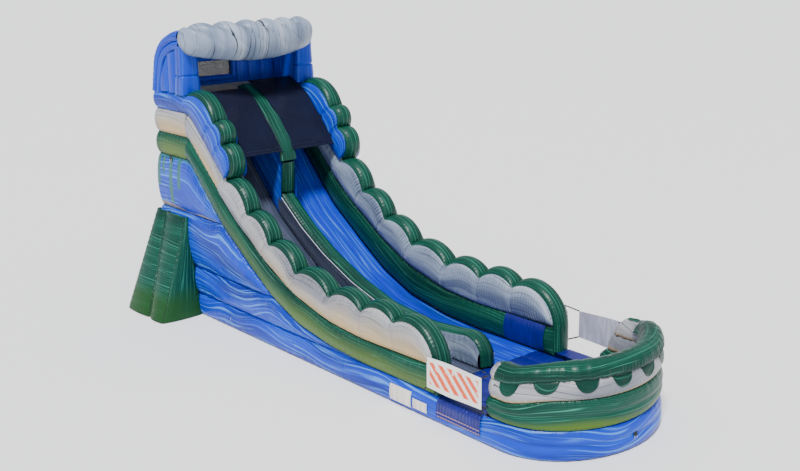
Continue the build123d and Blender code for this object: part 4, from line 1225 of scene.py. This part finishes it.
def tongues(skin, plan, normals):
    """The roll's scalloped lower edge, which lies over the grey chamber's outside."""
    along = lengths(level(plan, POOL_GREEN_TOP))
    pitch = along[-1] / TONGUES
    across = ((along / pitch) % 1.0) * 2 - 1
    tip = np.clip(1 - np.abs(across / TONGUE_WIDTH) ** 2.2, 0, 1) ** 0.75
    reach = TONGUE_REACH * tip + 0.012
    share = np.linspace(0, 1, 15)
    top = POOL_STITCH - POOL_GREEN_TOP
    height = (1 - reach / top)[:, None] * (1 - share) + share
    dome = (1 - (2 * height - 1) ** 2) ** 0.6
    flat = plan[:, None] + normals[:, None] * (GREY_PUFF * dome + 0.010)[..., None]
    points = np.concatenate([flat, (POOL_GREEN_TOP + height * top)[..., None]], axis=-1)
    skin.grid(points, level(normals, 0.0))


def pool_wall():
    """The green chamber, the grey one with its two ends, and the roll on top."""
    outer_count = POOL_COLUMNS // 2
    plan, normals, middles = pool_loop(PUFF)
    out = level(normals, 0.0)
    skin = Skin()
    skin.panel(level(plan, POOL_BASE_TOP), level(plan, POOL_GREEN_TOP), out, depth=0.085,
               rows=31, fullness=0.6, groove=np.full(len(plan), 0.30), pitch=0.25,
               pucker=0.007)
    skin.warp(pool_slump)
    skin.build("pool_green", green_pool, ["pool_green_band"], "green_vinyl")

    grey = Skin()
    grey.panel(level(plan, POOL_GREEN_TOP), level(plan, POOL_STITCH), out, depth=GREY_PUFF,
               rows=25, fullness=0.6, pitch=0.12, pucker=0.010)

    skin = Skin()
    tongues(skin, plan[:outer_count], normals[:outer_count])

    turn = np.linspace(-0.35, math.pi / 2, 31)
    loop_along = lengths(level(plan, 0.0))
    fine = wave(loop_along, 0.075, 1.0)[:, None] * np.exp(-((turn + 0.35) / 0.75) ** 2)
    broad = wave(loop_along, 0.23, 4.0)[:, None] * np.cos(turn) ** 0.7
    waist = np.exp(-((turn + 0.35) / 0.16) ** 2)
    wide = (ROLL - 0.004) * np.cos(turn) ** 0.85 * (1 + 0.050 * fine + 0.045 * broad)
    wide = wide * (1 - 0.05 * waist)
    rise = POOL_CREST - POOL_STITCH - 0.05
    high = POOL_STITCH + 0.05 + rise * np.sin(turn) * (1 + 0.05 * broad)
    flat = middles[:, None] + normals[:, None] * wide[..., None]
    points = np.concatenate([flat, high[..., None]], axis=-1)
    skin.grid(points[:outer_count], out[:outer_count])
    first, cap_end = outer_count - 1, outer_count + END_CAP
    last = len(points) - END_CAP - 2
    for stretch, split in ((slice(first, cap_end), 25), (slice(cap_end - 1, last), 10),
                           (slice(last - 1, None), 25)):
        skin.grid(points[stretch, split:], out[stretch])
        grey.grid(points[stretch, :split + 1], out[stretch])
    skin.warp(pool_slump)
    skin.build("pool_roll", green_plain, ["pool_top_roll"], "green_vinyl")
    grey.warp(pool_slump)
    grey.build("pool_grey", grey_pool, ["pool_grey_band"], "grey_vinyl")


def pool_floor():
    """The wrinkled sheet on the pool's ground."""
    inner, _ = pool_floor_outline(0.01)
    centre = np.column_stack([np.zeros(200), inner[:, 1]])
    share = np.linspace(0, 1, 20)
    sheet = centre[:, None] * (1 - share)[None, :, None] + inner[:, None] * share[
        None, :, None]
    wrinkle = 0.003 * np.sin(9 * sheet[..., 0] + 4 * sheet[..., 1])
    points = np.concatenate([sheet, 0.008 + wrinkle[..., None]], axis=-1)
    liner = sheet_piece("pool_floor", points, (0, 0, 1), deep_blue, ["pool_liner"],
                        "deep_blue_vinyl")


# ---- entry mats, banners, patches ----------------------------------------------------------
def entry_mats():
    """A gathered sheet over each way into the pool, hanging down the outside."""
    y = np.linspace(WALL_END - 0.01, POOL_START, 60)
    for side, name in ((-1, "left"), (1, "right")):
        over = soften([(WALL_IN, 0.485), (1.62, 0.485), (1.712, 0.42), (1.722, 0.24),
                       (1.706, 0.13)], 0.04)
        over = resample(over, 50)
        ripple = 0.007 * wave(y - y.min(), 0.075, side + 2)[None] * smooth_step(
            over[:, 0], 1.45, 1.70)[:, None]
        x = side * (over[:, :1] + ripple)
        points = np.stack([x, np.tile(y, (50, 1)), np.tile(over[:, 1:], 60)], axis=-1)
        mat = sheet_piece(f"entry_mat_{name}", points.transpose(1, 0, 2), (side, 0, 1),
                          deep_blue, ["entry_mats"], "deep_blue_vinyl")
        strip = points[-9:] + np.array([side * 0.004, 0, 0])
        hem = sheet_piece(f"entry_hem_{name}", strip.transpose(1, 0, 2), (side, 0, 0),
                          blue_hem, ["entry_mats"], "deep_blue_vinyl")


# Banner corners and the tabs their straps run to, as (y, z): low and high in front, high and
# low at the back.
BANNER_X = 1.735
LEFT_BANNER = [(-3.12, 0.615), (-3.12, 1.155), (-4.41, 1.16), (-4.41, 0.62)]
BANNER_TABS = [(-3.02, 0.53), (-3.00, 1.26), (-4.56, 1.25), (-4.55, 0.53)]
RIGHT_BANNER = [(-3.44, 0.72), (-3.44, 1.22), (-4.41, 1.26), (-4.41, 0.70)]


def banners():
    """A banner across each way in, with a plain back and a strap at each corner."""
    for side, name, corners in ((-1, "left", LEFT_BANNER), (1, "right", RIGHT_BANNER)):
        low_front, high_front, high_back, low_back = (np.array(c) for c in corners)
        share_u, share_v = np.linspace(0, 1, 60), np.linspace(0, 1, 24)
        low = low_front + (low_back - low_front) * share_u[:, None]
        high = high_front + (high_back - high_front) * share_u[:, None]
        place = low[:, None] * (1 - share_v)[None, :, None] + high[:, None] * share_v[
            None, :, None]
        scallop = 0.014 * np.sin(math.pi * share_u)[:, None] * (
            -np.cos(math.pi * share_v)[None])
        belly = 0.012 * np.sin(math.pi * share_u)[:, None] * np.sin(
            5 * share_u[:, None] + 3 * share_v[None])
        for face, material, gap in (("front", hazard, 0.002), ("back", lilac_vinyl, -0.002)):
            x = side * (BANNER_X + belly + gap)
            points = np.stack([x, place[..., 0], place[..., 1] + scallop], axis=-1)
            out = (side if face == "front" else -side, 0, 0)
            sheet_piece(f"banner_{face}_{name}", points, out, material,
                                      [f"banner_{name}"], "white_vinyl",
                                      body=f"banner_{name}")
        skin = Skin()
        for corner, tab in zip(corners, BANNER_TABS):
            line = resample([corner, tab], 14)
            reach = np.array(tab) - corner
            across = np.array([-reach[1], reach[0]]) / math.hypot(*reach) * 0.013
            inward = np.linspace(BANNER_X + 0.005, BANNER_X - 0.012, 14)
            edges = [np.column_stack([side * inward, line + sign * across])
                     for sign in (-1, 1)]
            skin.grid(np.stack(edges, axis=1), (side, 0, 0))
        skin.build(f"banner_straps_{name}", black_webbing, [f"banner_{name}"],
                                 "black_webbing", body=f"banner_{name}")


def base_skin_x(z):
    """How far out the base tube's skin is at a height."""
    share = np.clip((z - FOOT_Z) / (BASE_TOP - FOOT_Z), 0, 1)
    seam = HALF - FOOT_INSET + (FOOT_INSET - PUFF) * share
    return seam + BASE_PUFF * (1 - (2 * share - 1) ** 2) ** 0.6


PATCHES = [(-2.395, 0.225, 0.56, 0.29), (-2.904, 0.19, 0.36, 0.18)]  # y, z, width, height
WALL_PATCH = (-2.05, -3.06, 0.45, 0.95)  # y from and to, z from and to


def wall_patch():
    """The wear sheet over the right wall's foot beside the landing."""
    back, front, low, high = WALL_PATCH
    y, z = np.linspace(back, front, 60), np.linspace(low, high, 30)
    grid_y, grid_z = np.meshgrid(y, z, indexing="ij")
    share = (grid_z - 0.405) / (0.97 - 0.405)
    skin_x = SEAM_IN - 0.10 * (1 - (2 * np.clip(share, 0, 1) - 1) ** 2) ** 0.75 - 0.016
    ripple = 0.006 * wave(y - front, 0.12, 2.0)[:, None] * np.linspace(0, 1, 30)[::-1]
    points = np.stack([skin_x - np.abs(ripple), grid_y, grid_z], axis=-1)
    patch = sheet_piece("wall_patch", points, (-1, 0, 0), deep_blue,
                        ["wall_right_green_band"], "deep_blue_vinyl")


def label_patches():
    """Two blank vinyl patches on the left of the base tube."""
    for index, (y, z, width, height) in enumerate(PATCHES):
        places = np.linspace(y + width / 2, y - width / 2, 24)
        heights = np.linspace(z - height / 2, z + height / 2, 16)
        grid_y, grid_z = np.meshgrid(places, heights, indexing="ij")
        points = np.stack([-(base_skin_x(grid_z) + 0.012), grid_y, grid_z], axis=-1)
        patch = sheet_piece(f"label_patch_{index + 1}", points, (-1, 0, 0), pale_vinyl,
                            ["base_tube"], "white_vinyl")


# ---- stabiliser fins -----------------------------------------------------------------------
FIN_FEET = (4.217, 4.831, 5.808)  # y of the seams on the ground
FIN_HEADS = (4.56, 5.35, 5.80)  # and against the tower
FIN_REACH, FIN_TOP = 2.70, 2.16
FIN_PUFF = 0.07


def fins(side, name):
    """Two wedge chambers: a sloping outer face and a triangle in front and behind."""
    skin = Skin()
    inset = FIN_PUFF * 0.9
    reach, top, foot = FIN_REACH - inset * 1.1, FIN_TOP - inset * 0.6, 0.015
    slope = np.array([(foot, reach), (top, HALF + 0.06)])
    out = np.array([side * (top - foot), 0, reach - HALF])
    out /= np.linalg.norm(out)
    for front, back, head, far_head in zip(FIN_FEET, FIN_FEET[1:], FIN_HEADS,
                                           FIN_HEADS[1:]):
        near, far = front + inset * 0.7, back - inset * 0.7
        edge = resample(slope, 90)
        rise = np.linspace(0, 1, 90)
        outer = [np.column_stack([side * edge[:, 1], start + (end - start) * rise,
                                  edge[:, 0]])
                 for start, end in ((near, head + 0.04), (far, far_head - 0.04))]
        skin.panel(outer[0], outer[1], out, depth=FIN_PUFF, rows=27, fullness=0.55,
                   pucker=0.008, pitch=0.13, seed=front, turned=True)
        for line, facing in ((outer[0], -1), (outer[1], 1)):
            inner = line.copy()
            inner[:, 0] = side * (HALF - 0.02)
            skin.panel(inner, line, (0, facing, 0), depth=FIN_PUFF * 0.9, rows=21,
                       fullness=0.6, pucker=0.008, pitch=0.13, seed=back)
    skin.build(f"fins_{name}", green_fin, [f"stabiliser_{name}"], "green_vinyl")


# ---- back of the tower ---------------------------------------------------------------------
SLEEVE = (-0.60, 0.32, 0.152, 6.125)  # x, z, radius, and y of its mouth


def blower_sleeve():
    """The limp fabric sleeve that the blower's nozzle goes into."""
    x, z, radius, end = SLEEVE
    along = np.linspace(0, 1, 46)
    turn = np.linspace(0, 2 * math.pi, 81)
    folds = 1 + along[:, None] * (0.035 * np.sin(7 * turn + 1.0) + 0.03 * np.sin(
        11 * turn + 5 * along[:, None]))
    pinch = 1 - 0.10 * np.exp(-((along - 0.72) / 0.05) ** 2)[:, None]
    sag = -0.035 * along ** 2
    reach = radius * 0.93 * folds * pinch
    points = np.stack([x + reach * np.cos(turn) * 1.03,
                       np.tile((TOWER_BACK - 0.03 + (end - TOWER_BACK + 0.03) * along)[
                           :, None], 81),
                       z + sag[:, None] + reach * np.sin(turn)], axis=-1)
    sleeve = sheet_piece("sleeve", points, (0, 0, -1), deep_blue, ["blower_sleeve"],
                         "blue_vinyl")


FLAP = (0.02, 0.98, 0.222, 0.348, 5.898)  # x from and to, z from and to, y


def zipper():
    """The flap over the deflation zipper."""
    left, right, low, high, y = FLAP
    x, z = np.linspace(left, right, 70), np.linspace(high, low, 14)
    grid_x, grid_z = np.meshgrid(x, z, indexing="ij")
    ripple = 0.0035 * wave(x - left, 0.16, 3.0)[:, None] * np.linspace(0, 1, 14)
    points = np.stack([grid_x, y + ripple, grid_z], axis=-1)
    flap = sheet_piece("zip_flap", points, (0, 1, 0), deep_blue, ["zipper_flap"],
                       "blue_vinyl", body="zipper_flap")


CAD_MATERIALS = {"webbing_tabs": cad_webbing, "climb_handles": cad_webbing,
                 "zipper_tape": cad_webbing, "zipper_slider": dark_plastic,
                 "tower_webs": cad_webbing}


def cad_materials():
    """Materials for the CAD nodes that stay."""
    rings = [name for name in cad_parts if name.startswith("ring_")]
    for name in [*CAD_MATERIALS, *rings]:
        node = bpy.data.objects[name]
        node.data.materials.clear()
        node.data.materials.append(CAD_MATERIALS.get(name, steel))


# ---- camera, light and floor ---------------------------------------------------------------
CAMERA_PLACE = (-13.370, -16.112, 7.959)
CAMERA_ANGLES = (-40.47, 15.14, -0.72)  # azimuth, elevation and roll, in degrees
CAMERA_LENS = 50.436


def set_camera():
    azimuth, elevation, roll = (math.radians(angle) for angle in CAMERA_ANGLES)
    back = Vector((math.sin(azimuth) * math.cos(elevation),
                   -math.cos(azimuth) * math.cos(elevation), math.sin(elevation)))
    right = Vector((math.cos(azimuth), math.sin(azimuth), 0))
    up = back.cross(right)
    across = math.cos(roll) * right + math.sin(roll) * up
    upwards = -math.sin(roll) * right + math.cos(roll) * up
    camera = bpy.data.objects.new("camera", bpy.data.cameras.new("camera"))
    camera.data.sensor_width = 36
    camera.data.lens = CAMERA_LENS
    camera.data.clip_end = 200
    turn = Matrix((across, upwards, back)).transposed().to_4x4()
    camera.matrix_world = Matrix.Translation(CAMERA_PLACE) @ turn
    bpy.context.scene.collection.objects.link(camera)
    bpy.context.scene.camera = camera


def add_light(name, kind, place, target, energy, **settings):
    light = bpy.data.objects.new(name, bpy.data.lights.new(name, kind))
    light.data.energy = energy
    for key, value in settings.items():
        setattr(light.data, key, value)
    light.location = place
    aim = Vector(target) - Vector(place)
    light.rotation_euler = aim.to_track_quat("-Z", "Y").to_euler()
    bpy.context.scene.collection.objects.link(light)


def set_stage():
    skin = Skin()
    side = np.linspace(-400, 400, 3)
    x, y = np.meshgrid(side, side, indexing="ij")
    skin.grid(np.stack([x, y, np.full_like(x, -0.002)], axis=-1), (0, 0, 1))
    floor = Nodes("floor")
    floor.shader.inputs["Base Color"].default_value = (0.93, 0.93, 0.93, 1)
    floor.shader.inputs["Roughness"].default_value = 0.9
    mesh_piece = skin.build("floor", floor.material)
    world = bpy.data.worlds.new("world")
    world.use_nodes = True
    world.node_tree.nodes["Background"].inputs[0].default_value = (0.93, 0.96, 1.0, 1)
    world.node_tree.nodes["Background"].inputs[1].default_value = 0.66
    bpy.context.scene.world = world
    add_light("sun", "SUN", (-7, -5, 14), (0, 0, 0), 4.9, angle=0.2)
    add_light("fill", "AREA", (-14, -20, 9), (0, 0, 2), 450, size=14)


set_camera()
set_stage()
base_tube()
tower_back()
lanes()
climb_steps()
divider()
nets()
hood_back()
window()
hood_sides()
crown_roll()
pool_wall()
pool_floor()
entry_mats()
banners()
label_patches()
blower_sleeve()
zipper()
for side_name, side_sign in (("left", -1), ("right", 1)):
    wall(side_sign, side_name)
    side_bodies(side_sign, side_name)
    fins(side_sign, side_name)
wall_patch()
cad_materials()
